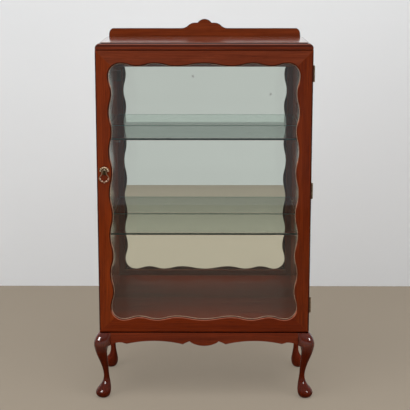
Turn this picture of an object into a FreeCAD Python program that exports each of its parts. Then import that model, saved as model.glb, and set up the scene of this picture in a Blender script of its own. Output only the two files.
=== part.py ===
import FreeCAD, Part
import os
from math import asin, atan2, cos, pi, sin, sqrt

from FreeCAD import Vector

# A display cabinet on cabriole legs, with one glazed door, a mirror back and glass shelves.
# Millimetres. x runs to the right, y to the back and z up, and the front faces -y.
# The origin lies on the floor under the middle of the cabinet.

# Case
case_width = 686.0
case_height = 923.0
case_depth = 325.0
panel_thickness = 20.0
bottom_thickness = 25.0
front_rail_height = 22.0
front_rail_depth = 40.0
back_rail_height = 81.5
back_rail_lip = 8.0
mirror_thickness = 5.0
mirror_lap = 10.0
mirror_clearance = 0.5
backing_thickness = 4.0
backing_margin = 2.0

# Top board and gallery
top_thickness = 21.5
top_overhang = 2.0
top_step = 3.0
ovolo_radius = 16.0
ovolo_quirk = 1.5
top_corner_radius = 9.0
gallery_length = 648.0
gallery_height = 26.2
gallery_thickness = 16.0
gallery_end_run = 14.0
gallery_end_drop = 22.0
gallery_edge_bevel = 1.5
crest_length = 158.0
crest_rise = 18.5
shoulder_length = 66.0
dome_length = 47.0
dome_rise = 12.5

# Base: legs and aprons
leg_height = 222.5
post_size = 36.0
knee_reach = 18.6
apron_thickness = 20.0
apron_proud = 2.5
apron_depth = 41.5
apron_end_depth = 32.6
apron_tip_depth = 37.0
apron_arch_depth = 27.0
apron_foot_depth = 38.5
apron_cusp_depth = 28.5
apron_pendant_depth = 44.0
apron_lobe_depth = 39.25
tip_offset = 53.0
end_arch_offset = 38.0
pendant_reach = 70.0
cusp_reach = 47.5
lobe_reach = 28.5
end_bow = 1.0
tip_bow = 0.5
cusp_bow = 0.8
lobe_bow = 1.5
corner_block_height = 30.0
corner_block_leg = 56.0
corner_block_screw_inset = 23.5

# Door
door_thickness = 20.0
door_clearance = 1.5
hinge_gap = 2.0
stile_width = 40.5
top_rail_width = 42.0
bottom_rail_width = 44.0
scallop_depth = 9.0
opening_corner_radius = 39.0
door_lip = 9.0
glazing_lap = 8.0
pane_thickness = 3.0
pane_clearance = 1.0
bead_round = 4.0
door_edge_radius = 5.0
opening_edge_radius = 4.5

# Shelves
shelf_thickness = 6.0
shelf_setback = 7.0
shelf_back_gap = 3.0
shelf_end_gap = 4.0
lower_shelf_rise = 297.5
upper_shelf_rise = 608.0
peg_radius = 2.5
peg_flat = 0.5
peg_reach = 9.0
peg_depth = 10.0
peg_collar_radius = 4.0
peg_collar_length = 1.5
peg_inset = 40.0
peg_fit = 0.05

# Butt hinges
hinge_length = 50.0
hinge_leaf_width = 18.0
hinge_leaf_thickness = 1.6
hinge_knuckle_radius = 3.2
hinge_knuckle_count = 5
hinge_pin_radius = 1.6
hinge_pin_head = 1.2
hinge_pin_fit = 0.05
hinge_wood_gap = 0.3
knuckle_gap = 0.3
lower_hinge_rise = 88.0
middle_hinge_rise = 468.0
upper_hinge_rise = 844.0

# Handle
handle_inset = 24.5
handle_rise = 534.5
plate_thickness = 1.6
plate_reach = 16.8
plate_crown_rise = 16.0
plate_tip_rise = 1.5
plate_waist = 7.3
plate_waist_drop = 6.5
plate_foot_drop = 11.5
plate_flank_bow = 1.1
post_radius = 4.2
post_length = 11.0
post_tip_radius = 2.5
bail_standoff = 6.0
bail_wire_radius = 1.7
bail_bar_half = 4.4
bail_turn_radius = 2.6
bail_half_width = 15.2
bail_flare_drop = 22.5
bail_corner_radius = 7.0
bail_drop = 33.3
bail_fit = 0.08
handle_bolt_radius = 2.0
handle_bolt_reach = 3.0
handle_bolt_head_radius = 3.5
handle_bolt_head_height = 1.7

# Magnetic catch
catch_rise = 779.5
catch_height = 40.0
catch_width = 14.0
catch_depth = 16.0
catch_wall = 3.0
catch_screw_inset = 4.8
catch_screw_setback = 9.6
catch_air = 0.2
magnet_inset = 9.6
strike_thickness = 0.9
strike_height = 34.0
strike_width = 11.0

# Screws, all countersunk
screw_head_radius = 2.9
screw_shank_radius = 1.4
screw_head_height = 1.5
screw_length = 12.0
wood_screw_head_radius = 4.2
wood_screw_shank_radius = 2.0
wood_screw_head_height = 2.2
wood_screw_bite = 14.0
screw_fit = 0.05
leaf_screw_spacing = 15.0
back_screw_count = 5

# Levels and planes worked out from the sizes above
half_width = case_width / 2
inner_half = half_width - panel_thickness
case_base = leg_height
case_top = case_base + case_height
floor_level = case_base + bottom_thickness
overall_depth = knee_reach + apron_proud + door_thickness + hinge_gap + case_depth
base_front = knee_reach - overall_depth / 2
door_face = base_front + apron_proud
door_back = door_face + door_thickness
case_front = door_back + hinge_gap
case_back = case_front + case_depth
backing_front = case_back - backing_thickness
mirror_front = backing_front - mirror_thickness
base_back = case_back - knee_reach
door_bottom = case_base + door_clearance
door_top = case_top - door_clearance
top_face = case_top + top_thickness

along_x = Vector(1, 0, 0)
along_y = Vector(0, 1, 0)
along_z = Vector(0, 0, 1)


def box(x0, x1, y0, y1, z0, z1):
    return Part.makeBox(x1 - x0, y1 - y0, z1 - z0, Vector(x0, y0, z0))


def line(start, end):
    return Part.LineSegment(start, end).toShape()


def arc(start, through, end):
    return Part.Arc(start, through, end).toShape()


def smooth(points):
    curve = Part.BSplineCurve()
    curve.interpolate(points)
    return curve.toShape()


def quarter_ellipse(centre, half_axis, other_half_axis):
    """The quarter of an ellipse between the tips of its two half axes."""
    long, short = sorted((half_axis, other_half_axis), key=lambda axis: -axis.Length)
    whole = Part.Ellipse(centre + long, centre + short, centre)
    return Part.ArcOfEllipse(whole, 0, pi / 2).toShape()


def extrude(edges, direction):
    return Part.Face(Part.Wire(Part.__sortEdges__(edges))).extrude(direction)


def polygon_prism(points, direction):
    return Part.Face(Part.makePolygon(points + [points[0]])).extrude(direction)


def mirror_x(shape):
    return shape.mirror(Vector(0, 0, 0), along_x)


def mirror_y(shape, plane):
    return shape.mirror(Vector(0, plane, 0), along_y)


def upright(edge):
    return edge.BoundBox.ZLength > edge.BoundBox.XLength + edge.BoundBox.YLength


def save(name, *solids):
    shape = solids[0] if len(solids) == 1 else Part.makeCompound(list(solids))
    shape.exportStep("parts/" + name + ".step")


def screw(seat, drive, head_radius, shank_radius, head_height, length, fit=0.0):
    """A countersunk screw, or with a fit its hole: head flush at the seat, point along drive."""
    head = Part.makeCone(head_radius + fit, shank_radius + fit, head_height, seat, drive)
    shank = Part.makeCylinder(shank_radius + fit, length + fit, seat, drive)
    return head.fuse(shank)


def small_screw(seat, drive, fit=0.0):
    return screw(seat, drive, screw_head_radius, screw_shank_radius, screw_head_height, screw_length, fit)


def wood_screw(seat, drive, grip, fit=0.0):
    return screw(seat, drive, wood_screw_head_radius, wood_screw_shank_radius, wood_screw_head_height,
                 grip + wood_screw_bite, fit)


def pierce(shape, cutters):
    for cutter in cutters:
        shape = shape.cut(cutter)
    return shape


# Legs. Each row of the shank, from the sole to the knee: share of the shank's height, reach of the
# outer edge past the post's face as a share of the knee's, distance of the inner edge from that face
# as a share of the post, squareness of the corners (0 round, 1 square). Each row of the post: share of
# the apron's depth, share of the knee's reach.
shank_pattern = [
    (0.0, 0.19, 0.61, 0.0),
    (0.022, 0.54, 0.77, 0.0),
    (0.083, 0.855, 0.917, 0.0),
    (0.149, 0.677, 0.956, 0.0),
    (0.213, 0.156, 0.936, 0.0),
    (0.292, -0.355, 0.875, 0.0),
    (0.387, -0.548, 0.8, 0.0),
    (0.552, -0.312, 0.744, 0.0),
    (0.682, 0.086, 0.7, 0.0),
    (0.807, 0.538, 0.667, 0.0),
    (0.895, 0.796, 0.672, 0.1),
    (0.95, 0.925, 0.75, 0.35),
    (0.983, 0.984, 0.861, 0.7),
]
post_pattern = [(0.0, 1.0), (0.265, 0.97), (0.59, 0.76), (0.843, 0.42), (1.0, 0.0)]
shank_height = leg_height - apron_depth

# How far out a corner lies, as a share of half the width: on a round level, and on a square one
corner_share = (sqrt(0.5), 0.8)


def leg_outline(height, reach, inner, square):
    """One level of the leg, seen from above with the post's outer corner at 0, 0."""
    centre = (inner - reach) / 2
    half = (inner + reach) / 2
    diagonal = half * corner_share[0]

    def blend(round_value, square_value):
        return round_value + (square_value - round_value) * square

    near = blend(centre + diagonal, inner)
    far = blend(centre - diagonal, 0.0)
    middle = blend(centre, inner / 2)
    crest = blend(centre, inner / 4)
    corner = centre - half * blend(*corner_share)
    ring = [(near, near), (inner, middle), (near, far), (crest, -reach), (corner, corner),
            (-reach, crest), (far, near), (middle, inner)]
    points = [Vector(across, deep, height) for across, deep in ring]
    edges = [smooth(points[0:3]), smooth(points[2:7]), smooth([points[6], points[7], points[0]])]
    return Part.Wire(edges)


def make_leg():
    """A cabriole shank lofted from pad foot to knee, and the square post above it."""
    shank = [leg_outline(shank_height * rise, knee_reach * reach, post_size * inner, square)
             for rise, reach, inner, square in shank_pattern]
    post = [leg_outline(shank_height + apron_depth * rise, knee_reach * reach, post_size, 1.0)
            for rise, reach in post_pattern]
    return Part.makeLoft(shank + [post[0]], True).fuse(Part.makeLoft(post, True))


def build_legs():
    leg = make_leg()
    front_left = leg.translated(Vector(-half_width, base_front, 0))
    rear_left = mirror_y(front_left, (base_front + base_back) / 2)
    save("front_left_leg", front_left)
    save("front_right_leg", mirror_x(front_left))
    save("rear_left_leg", rear_left)
    save("rear_right_leg", mirror_x(rear_left))


# Aprons. Depths are measured down from the top of the base.
def apron_end(end, inward):
    """The shaped end of an apron's lower edge, from the leg to the tip: pairs of offset and depth."""
    knee = [end, end + inward * end_arch_offset / 2, end + inward * end_arch_offset]
    tip = end + inward * tip_offset
    before_tip = (knee[2] + tip) / 2
    return [
        [(knee[0], apron_depth), (knee[1], apron_end_depth + end_bow), (knee[2], apron_end_depth)],
        [(knee[2], apron_end_depth), (before_tip, (apron_end_depth + apron_tip_depth) / 2 + tip_bow),
         (tip, apron_tip_depth)],
    ]


def apron_arch(start, start_depth, end, end_depth):
    return [(start, start_depth), ((start + end) / 2, apron_arch_depth), (end, end_depth)]


def apron_centre(side):
    """One half of the pendant at the middle of the front apron, from the long arch inwards."""
    outer = side * pendant_reach
    cusp = side * cusp_reach
    lobe = side * lobe_reach
    rise_middle = ((outer + cusp) / 2, (apron_foot_depth + apron_cusp_depth) / 2 - cusp_bow)
    fall_middle = ((cusp + lobe) / 2, (apron_cusp_depth + apron_lobe_depth) / 2 + lobe_bow)
    return [
        [(outer, apron_foot_depth), rise_middle, (cusp, apron_cusp_depth)],
        [(cusp, apron_cusp_depth), fall_middle, (lobe, apron_lobe_depth)],
    ]


def apron_edges(curves, length, place):
    """Edges of an apron's face: straight top and ends, and the curves as its lower edge."""
    edges = [arc(*[place(offset, depth) for offset, depth in curve]) for curve in curves]
    half = length / 2
    edges.append(line(place(-half, 0), place(half, 0)))
    edges.append(line(place(-half, 0), place(-half, apron_depth)))
    edges.append(line(place(half, 0), place(half, apron_depth)))
    return edges


def front_apron():
    length = case_width - 2 * post_size
    half = length / 2
    curves = []
    for side in (-1, 1):
        curves += apron_end(side * half, -side)
        curves.append(apron_arch(side * (half - tip_offset), apron_tip_depth,
                                 side * pendant_reach, apron_foot_depth))
        curves += apron_centre(side)
    curves.append([(-lobe_reach, apron_lobe_depth), (0.0, apron_pendant_depth),
                   (lobe_reach, apron_lobe_depth)])

    def place(offset, depth):
        return Vector(offset, base_front, leg_height - depth)

    return extrude(apron_edges(curves, length, place), along_y * apron_thickness)


def left_apron():
    length = base_back - base_front - 2 * post_size
    half = length / 2
    middle = (base_front + base_back) / 2
    curves = apron_end(-half, 1) + apron_end(half, -1)
    curves.append(apron_arch(tip_offset - half, apron_tip_depth, half - tip_offset, apron_tip_depth))

    def place(offset, depth):
        return Vector(-half_width, middle + offset, leg_height - depth)

    return extrude(apron_edges(curves, length, place), along_x * apron_thickness)


def build_aprons():
    side = left_apron()
    save("front_apron", front_apron())
    save("left_apron", side)
    save("right_apron", mirror_x(side))
    save("rear_apron", box(post_size - half_width, half_width - post_size, base_back - apron_thickness,
                           base_back, leg_height - apron_depth, leg_height))


# Corner blocks hold legs and aprons together and take the screws into the case.
def block_screw_seat(side, rear):
    inset = apron_thickness + corner_block_screw_inset
    y = base_back - inset if rear else base_front + inset
    return Vector(side * (half_width - inset), y, leg_height - corner_block_height)


def base_screw_set(fit=0.0):
    return [wood_screw(block_screw_seat(side, rear), along_z, corner_block_height, fit)
            for side in (-1, 1) for rear in (False, True)]


def build_corner_blocks():
    notch = post_size - apron_thickness
    leg = corner_block_leg
    outline = [(notch, 0), (leg, 0), (0, leg), (0, notch), (notch, notch)]
    corner = Vector(apron_thickness - half_width, base_front + apron_thickness,
                    leg_height - corner_block_height)
    points = [corner + Vector(across, deep, 0) for across, deep in outline]
    front_left = polygon_prism(points, along_z * corner_block_height)
    rear_left = mirror_y(front_left, (base_front + base_back) / 2)
    blocks = [front_left, mirror_x(front_left), rear_left, mirror_x(rear_left)]
    holes = base_screw_set(screw_fit)
    save("corner_blocks", *[pierce(block, holes) for block in blocks])
    save("base_screws", *base_screw_set())


# Hinges. The pin stands beside the door's edge, midway between door and case.
pin_x = half_width + hinge_knuckle_radius + hinge_wood_gap
pin_y = (door_back + case_front) / 2
hinge_middles = [door_bottom + rise for rise in (lower_hinge_rise, middle_hinge_rise, upper_hinge_rise)]
hinge_names = ["lower", "middle", "upper"]


def hinge_leaf(middle, on_door):
    """A leaf with its knuckles, its plate let in flush with the wood."""
    knuckle_height = hinge_length / hinge_knuckle_count
    bottom = middle - hinge_length / 2
    back = door_back if on_door else case_front + hinge_leaf_thickness
    leaf = box(pin_x - hinge_leaf_width, pin_x, back - hinge_leaf_thickness, back,
               bottom, bottom + hinge_length)
    own = 1 if on_door else 0
    for index in range(hinge_knuckle_count):
        start = bottom + index * knuckle_height
        foot = Vector(pin_x, pin_y, start)
        if index % 2 == own:
            lower = 0 if index == 0 else knuckle_gap / 2
            upper = 0 if index == hinge_knuckle_count - 1 else knuckle_gap / 2
            leaf = leaf.fuse(Part.makeCylinder(hinge_knuckle_radius, knuckle_height - lower - upper,
                                               foot + along_z * lower, along_z))
        else:
            room = hinge_knuckle_radius + hinge_wood_gap
            leaf = leaf.cut(box(pin_x - room, pin_x + room, pin_y - room, pin_y + room,
                                start - knuckle_gap / 2, start + knuckle_height + knuckle_gap / 2))
    bore = Part.makeCylinder(hinge_pin_radius + hinge_pin_fit, hinge_length,
                             Vector(pin_x, pin_y, bottom), along_z)
    return pierce(leaf.cut(bore), leaf_screws(middle, on_door, screw_fit))


def leaf_screws(middle, on_door, fit=0.0):
    x = pin_x - hinge_knuckle_radius - (hinge_leaf_width - hinge_knuckle_radius) / 2
    y = door_back if on_door else case_front
    drive = -along_y if on_door else along_y
    return [small_screw(Vector(x, y, middle + step * leaf_screw_spacing), drive, fit) for step in (-1, 0, 1)]


def leaf_recess(middle, on_door):
    y = door_back - hinge_leaf_thickness if on_door else case_front
    return box(pin_x - hinge_leaf_width, pin_x, y, y + hinge_leaf_thickness,
               middle - hinge_length / 2, middle + hinge_length / 2)


def hinge_pin(middle):
    foot = Vector(pin_x, pin_y, middle - hinge_length / 2)
    top = foot + along_z * hinge_length
    pin = Part.makeCylinder(hinge_pin_radius, hinge_length, foot, along_z)
    upper = Part.makeCone(hinge_knuckle_radius, hinge_pin_radius, hinge_pin_head, top, along_z)
    lower = Part.makeCone(hinge_knuckle_radius, hinge_pin_radius, hinge_pin_head, foot, -along_z)
    return pin.fuse(upper).fuse(lower)


def build_hinges():
    door_screws = []
    case_screws = []
    for name, middle in zip(hinge_names, hinge_middles):
        save(name + "_hinge_door_leaf", hinge_leaf(middle, True))
        save(name + "_hinge_case_leaf", hinge_leaf(middle, False))
        door_screws += leaf_screws(middle, True)
        case_screws += leaf_screws(middle, False)
    save("hinge_pins", *[hinge_pin(middle) for middle in hinge_middles])
    save("hinge_door_screws", *door_screws)
    save("hinge_case_screws", *case_screws)


# Shelves and the pegs that carry them
shelf_levels = [floor_level + lower_shelf_rise, floor_level + upper_shelf_rise]
shelf_front = case_front + shelf_setback
shelf_back = mirror_front - shelf_back_gap


def shelf(level):
    half = inner_half - shelf_end_gap
    return box(-half, half, shelf_front, shelf_back, level, level + shelf_thickness)


def peg_places():
    return [Vector(side * inner_half, y, level - peg_radius + peg_flat)
            for level in shelf_levels for side in (-1, 1)
            for y in (shelf_front + peg_inset, shelf_back - peg_inset)]


def peg(place):
    inward = along_x if place.x < 0 else -along_x
    pin = Part.makeCylinder(peg_radius, peg_depth + peg_reach, place - inward * peg_depth, inward)
    collar = Part.makeCylinder(peg_collar_radius, peg_collar_length, place, inward)
    seat = place.z + peg_radius - peg_flat
    flat = box(-inner_half + peg_collar_length, inner_half - peg_collar_length,
               place.y - peg_radius, place.y + peg_radius, seat, seat + peg_radius)
    return pin.fuse(collar).cut(flat)


def peg_hole(place):
    inward = along_x if place.x < 0 else -along_x
    return Part.makeCylinder(peg_radius + peg_fit, peg_depth, place - inward * peg_depth, inward)


def build_shelves():
    for name, level in zip(("lower_shelf", "upper_shelf"), shelf_levels):
        save(name, shelf(level))
    save("shelf_pegs", *[peg(place) for place in peg_places()])


# Back: mirror let into the sides, backing sheet screwed over it
def back_screw_set(fit=0.0):
    """Screws up both sides of the backing, into the timber outside the mirror's rebate."""
    x = half_width - (panel_thickness - mirror_lap) / 2
    first = case_base + back_rail_height
    step = (case_top - back_rail_height - first) / (back_screw_count - 1)
    return [small_screw(Vector(side * x, case_back, first + index * step), -along_y, fit)
            for side in (-1, 1) for index in range(back_screw_count)]


ledge_level = case_base + bottom_thickness / 2
back_rail_bottom = case_top - back_rail_height
mirror_top = back_rail_bottom + mirror_lap


def build_back():
    half = inner_half + mirror_lap - mirror_clearance
    save("mirror", box(-half, half, mirror_front, backing_front, ledge_level, mirror_top - mirror_clearance))
    edge = half_width - backing_margin
    backing = box(-edge, edge, backing_front, case_back,
                  case_base + backing_margin, case_top - backing_margin)
    save("backing", pierce(backing, back_screw_set(screw_fit)))
    save("back_screws", *back_screw_set())
    lip = box(-inner_half, inner_half, mirror_front - back_rail_lip, mirror_front, back_rail_bottom, case_top)
    body = box(-half, half, mirror_front, backing_front, mirror_top, case_top)
    save("back_top_rail", lip.fuse(body).removeSplitter())


# Case boards
def side_panel(side):
    low, high = sorted((side * inner_half, side * half_width))
    panel = box(low, high, case_front, backing_front, case_base, case_top)
    low, high = sorted((side * inner_half, side * (inner_half + mirror_lap)))
    rebate = box(low, high, mirror_front, backing_front, case_base, case_top)
    holes = [peg_hole(place) for place in peg_places() if place.x * side > 0]
    screws = [cutter for cutter in back_screw_set(screw_fit) if cutter.BoundBox.Center.x * side > 0]
    return pierce(panel, [rebate] + holes + screws)


def bottom_board():
    board = box(-inner_half, inner_half, case_front, mirror_front, case_base, floor_level)
    reach = inner_half + mirror_lap - mirror_clearance
    ledge = box(-reach, reach, mirror_front, backing_front, case_base, ledge_level)
    return pierce(board.fuse(ledge).removeSplitter(), base_screw_set(screw_fit))


def build_case():
    right_cuts = []
    for middle in hinge_middles:
        right_cuts.append(leaf_recess(middle, False))
        right_cuts += leaf_screws(middle, False, screw_fit)
    save("left_side_panel", pierce(side_panel(-1), catch_screws(screw_fit)))
    save("right_side_panel", pierce(side_panel(1), right_cuts))
    save("bottom_board", bottom_board())
    save("front_top_rail", box(-inner_half, inner_half, case_front, case_front + front_rail_depth,
                               case_top - front_rail_height, case_top))


# Top board: an ovolo and a raised step run round the front and both ends
def moulded_edge(outer, inward, height_at):
    """Edges of one moulded rim, from the underside at the outer edge up to the top face."""
    lower = top_thickness - top_step - ovolo_radius
    start = height_at(outer, 0)
    spring = height_at(outer, lower)
    bend = ovolo_radius * (1 - cos(pi / 4))
    crown = ovolo_radius * sin(pi / 4)
    through = height_at(outer + inward * bend, lower + crown)
    flat = height_at(outer + inward * ovolo_radius, lower + ovolo_radius)
    quirk = height_at(outer + inward * (ovolo_radius + ovolo_quirk), lower + ovolo_radius)
    rim = height_at(outer + inward * (ovolo_radius + ovolo_quirk), top_thickness)
    return [line(start, spring), arc(spring, through, flat), line(flat, quirk), line(quirk, rim)]


def top_board():
    front = door_face - top_overhang

    def across(x, height):
        return Vector(x, front, case_top + height)

    def deep(y, height):
        return Vector(-half_width, y, case_top + height)

    rim = half_width - ovolo_radius - ovolo_quirk
    ends = moulded_edge(-half_width, 1, across) + moulded_edge(half_width, -1, across)
    ends.append(line(across(-half_width, 0), across(half_width, 0)))
    ends.append(line(across(-rim, top_thickness), across(rim, top_thickness)))
    lengthwise = extrude(ends, along_y * (case_back - front))
    profile = moulded_edge(front, 1, deep)
    profile.append(line(deep(front, 0), deep(case_back, 0)))
    profile.append(line(deep(case_back, 0), deep(case_back, top_thickness)))
    profile.append(line(deep(case_back, top_thickness),
                        deep(front + ovolo_radius + ovolo_quirk, top_thickness)))
    crosswise = extrude(profile, along_x * case_width)
    plan = box(-half_width, half_width, front, case_back, case_top, top_face)
    corners = [edge for edge in plan.Edges if upright(edge) and edge.CenterOfMass.y < door_back]
    plan = plan.makeFillet(top_corner_radius, corners)
    return lengthwise.common(crosswise).common(plan)


def half_wave(start, end, along):
    """Two equal tangent arcs from start to end, both ends running along the given direction."""
    step = end - start
    run = abs(step.dot(along))
    heading = along if step.dot(along) > 0 else -along
    rise = step - heading * run
    height = rise.Length
    up = rise * (1 / height)
    radius = (run * run + height * height) / (4 * height)
    turn = asin(run / 2 / radius)
    reach = heading * (radius * sin(turn / 2)) + up * (radius * (1 - cos(turn / 2)))
    middle = start + step * 0.5
    return [arc(start, start + reach, middle), arc(middle, end - reach, end)]


def gallery():
    front = case_back - gallery_thickness
    half = gallery_length / 2
    level = top_face + gallery_height
    shoulder = level + crest_rise
    end_spring = level - gallery_end_drop

    def at(x, z):
        return Vector(x, front, z)

    edges = [line(at(-half, top_face), at(half, top_face))]
    for side in (-1, 1):
        end = side * half
        inner_end = side * (half - gallery_end_run)
        foot = side * crest_length / 2
        ledge = side * shoulder_length / 2
        dome = side * dome_length / 2
        edges.append(line(at(end, top_face), at(end, end_spring)))
        edges.append(quarter_ellipse(at(inner_end, end_spring), along_x * (side * gallery_end_run),
                                     along_z * gallery_end_drop))
        edges.append(line(at(inner_end, level), at(foot, level)))
        edges += half_wave(at(foot, level), at(ledge, shoulder), along_x)
        edges.append(line(at(ledge, shoulder), at(dome, shoulder)))
    edges.append(arc(at(-dome_length / 2, shoulder), at(0, shoulder + dome_rise),
                     at(dome_length / 2, shoulder)))
    board = extrude(edges, along_y * gallery_thickness)
    front_edges = [edge for edge in board.Edges
                   if edge.BoundBox.YMax < front + gallery_edge_bevel / 2
                   and edge.BoundBox.ZMax > top_face + gallery_edge_bevel]
    return board.makeChamfer(gallery_edge_bevel, front_edges)


def build_top():
    save("top_board", top_board())
    save("gallery", gallery())


# Door frame. The opening's hollows lie on the lines that the widths of stiles and rails give, and
# the bulges stand scallop_depth further in. The numbers are the relative lengths of the half waves,
# from the middle of a side to its corner.
rail_waves = (91.0, 65.0, 58.0, 52.0)
stile_waves = (70.0, 67.0, 67.0, 58.0, 62.0, 54.0)
opening_half = half_width - stile_width
opening_low = door_bottom + bottom_rail_width
opening_high = door_top - top_rail_width
opening_middle = (opening_low + opening_high) / 2


def wave_stops(waves, run):
    """Offsets of the hollows and bulges, from the middle of a side to where its corner starts."""
    stops = [0.0]
    for wave in waves:
        stops.append(stops[-1] + wave * run / sum(waves))
    return stops


def scalloped_side(waves, run, point):
    """One side of the opening: hollows and bulges in turn, alike both ways from its middle."""
    edges = []
    stops = wave_stops(waves, run)
    for sign in (-1, 1):
        for index in range(len(waves)):
            depth = scallop_depth * (index % 2)
            next_depth = scallop_depth * ((index + 1) % 2)
            start = point(sign * stops[index], depth)
            end = point(sign * stops[index + 1], next_depth)
            along = point(1, 0) - point(0, 0)
            edges += half_wave(start, end, along)
    return edges


def opening_edges():
    radius = opening_corner_radius
    half_height = (opening_high - opening_low) / 2
    edges = []
    for side in (-1, 1):
        edges += scalloped_side(rail_waves, opening_half - radius, lambda offset, depth: Vector(
            offset, door_face, opening_middle + side * (half_height - depth)))
        edges += scalloped_side(stile_waves, half_height - radius, lambda offset, depth: Vector(
            side * (opening_half - depth), door_face, opening_middle + offset))
        for end in (-1, 1):
            centre = Vector(side * (opening_half - radius), door_face,
                            opening_middle + end * (half_height - radius))
            edges.append(arc(centre + along_x * (side * radius),
                             centre + Vector(side, 0, end) * (radius * sqrt(0.5)),
                             centre + along_z * (end * radius)))
    return edges


rebate_half = opening_half + glazing_lap
rebate_low = opening_low - glazing_lap
rebate_high = opening_high + glazing_lap
pane_front = door_face + door_lip
pane_back = pane_front + pane_thickness


def door_ring():
    """The whole frame before it is parted at the mitres."""
    slab = box(-half_width, half_width, door_face, door_back, door_bottom, door_top)
    rim = [edge for edge in slab.Edges if edge.BoundBox.YMax < door_face + door_edge_radius / 2]
    slab = slab.makeFillet(door_edge_radius, rim)
    opening = extrude(opening_edges(), along_y * door_thickness)
    ring = slab.cut(opening)
    waves = [edge for edge in ring.Edges
             if edge.BoundBox.YMax < door_face + door_edge_radius / 2
             and abs(edge.CenterOfMass.x) < half_width - door_edge_radius * 2
             and door_bottom + door_edge_radius * 2 < edge.CenterOfMass.z < door_top - door_edge_radius * 2]
    ring = ring.makeFillet(opening_edge_radius, waves)
    return ring.cut(box(-rebate_half, rebate_half, pane_front, door_back, rebate_low, rebate_high))


def mitre_wedge(corners):
    """A prism through the door that holds one frame member, between the mitres at its two ends."""
    points = [Vector(x, door_face - door_thickness, z) for x, z in corners]
    return polygon_prism(points, along_y * (door_thickness * 3))


def build_door_frame():
    ring = door_ring()
    reach = max(stile_width, top_rail_width, bottom_rail_width) + opening_corner_radius
    outer = half_width + reach
    inner = half_width - reach
    top_line = [(-outer, door_top + reach), (outer, door_top + reach), (inner, door_top - reach),
                (-inner, door_top - reach)]
    bottom_line = [(-outer, door_bottom - reach), (outer, door_bottom - reach), (inner, door_bottom + reach),
                   (-inner, door_bottom + reach)]
    right_line = [(outer, door_top + reach), (inner, door_top - reach), (inner, door_bottom + reach),
                  (outer, door_bottom - reach)]
    left_line = [(-x, z) for x, z in right_line]
    right_cuts = []
    for middle in hinge_middles:
        right_cuts.append(leaf_recess(middle, True))
        right_cuts += leaf_screws(middle, True, screw_fit)
    left_cuts = [handle_bolt(screw_fit), strike_screw(screw_fit)]
    save("door_top_rail", ring.common(mitre_wedge(top_line)))
    save("door_bottom_rail", ring.common(mitre_wedge(bottom_line)))
    save("door_right_stile", pierce(ring.common(mitre_wedge(right_line)), right_cuts))
    save("door_left_stile", pierce(ring.common(mitre_wedge(left_line)), left_cuts))


def bead_profile(edge_at):
    """A bead's section: it fills the rebate's width behind the pane, with its free corner rounded."""
    depth = door_back - pane_back
    flat = glazing_lap - bead_round
    bend = bead_round * (1 - sqrt(0.5))
    outer_front = edge_at(0, 0)
    outer_back = edge_at(0, depth)
    round_start = edge_at(flat, depth)
    round_middle = edge_at(glazing_lap - bend, depth - bend)
    round_end = edge_at(glazing_lap, depth - bead_round)
    inner_front = edge_at(glazing_lap, 0)
    return [line(outer_front, outer_back), line(outer_back, round_start),
            arc(round_start, round_middle, round_end), line(round_end, inner_front),
            line(inner_front, outer_front)]


def build_glazing():
    half = rebate_half - pane_clearance
    save("door_glass", box(-half, half, pane_front, pane_back, rebate_low + pane_clearance,
                           rebate_high - pane_clearance))
    for name, side in (("left", -1), ("right", 1)):
        side_bead = extrude(bead_profile(lambda inward, deep: Vector(
            side * (rebate_half - inward), pane_back + deep, rebate_low)),
            along_z * (rebate_high - rebate_low))
        save("glazing_bead_" + name, side_bead)
    length = 2 * opening_half
    for name, level, side in (("bottom", rebate_low, 1), ("top", rebate_high, -1)):
        level_bead = extrude(bead_profile(lambda inward, deep: Vector(
            -opening_half, pane_back + deep, level + side * inward)), along_x * length)
        save("glazing_bead_" + name, level_bead)


# Handle: a fan-shaped plate, a post bolted through the stile, and a drop that swings in the post
handle_x = handle_inset - half_width
handle_z = door_bottom + handle_rise
plate_front = door_face - plate_thickness
bail_y = plate_front - bail_standoff


def plate_outline():
    """A fan: a round crown from tip to tip, hollow flanks down to a waist, and a rounded foot."""
    def at(x, rise):
        return Vector(handle_x + x, plate_front, handle_z + rise)

    flank = (plate_reach + plate_waist) / 2 - plate_flank_bow
    flank_rise = (plate_tip_rise - plate_waist_drop) / 2 + plate_flank_bow
    edges = [arc(at(-plate_reach, plate_tip_rise), at(0, plate_crown_rise), at(plate_reach, plate_tip_rise)),
             arc(at(-plate_waist, -plate_waist_drop), at(0, -plate_foot_drop),
                 at(plate_waist, -plate_waist_drop))]
    for side in (-1, 1):
        edges.append(arc(at(side * plate_reach, plate_tip_rise), at(side * flank, flank_rise),
                         at(side * plate_waist, -plate_waist_drop)))
    return edges


def handle_bolt(fit=0.0):
    """The bolt through stile and plate into the post, or with a fit its hole through them."""
    seat = Vector(handle_x, door_back, handle_z)
    length = door_thickness + plate_thickness + handle_bolt_reach
    shank = Part.makeCylinder(handle_bolt_radius + fit, length, seat, -along_y)
    if fit:
        return shank
    head = Part.makeCylinder(handle_bolt_head_radius, handle_bolt_head_height, seat, along_y)
    return shank.fuse(head)


def build_handle():
    hole = handle_bolt(screw_fit)
    plate = extrude(plate_outline(), along_y * plate_thickness)
    save("handle_backplate", plate.cut(hole))
    foot = Vector(handle_x, plate_front, handle_z)
    post = Part.makeCylinder(post_radius, post_length, foot, -along_y)
    tip = [edge for edge in post.Edges if edge.BoundBox.YMax < plate_front - post_length / 2 and edge.Closed]
    post = post.makeFillet(post_tip_radius, tip)
    eye = Part.makeCylinder(bail_wire_radius + bail_fit, post_radius * 4,
                            Vector(handle_x - post_radius * 2, bail_y, handle_z), along_x)
    save("handle_post", post.cut(eye).cut(hole))
    save("handle_bolt", handle_bolt())
    save("handle_bail", bail())


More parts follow.
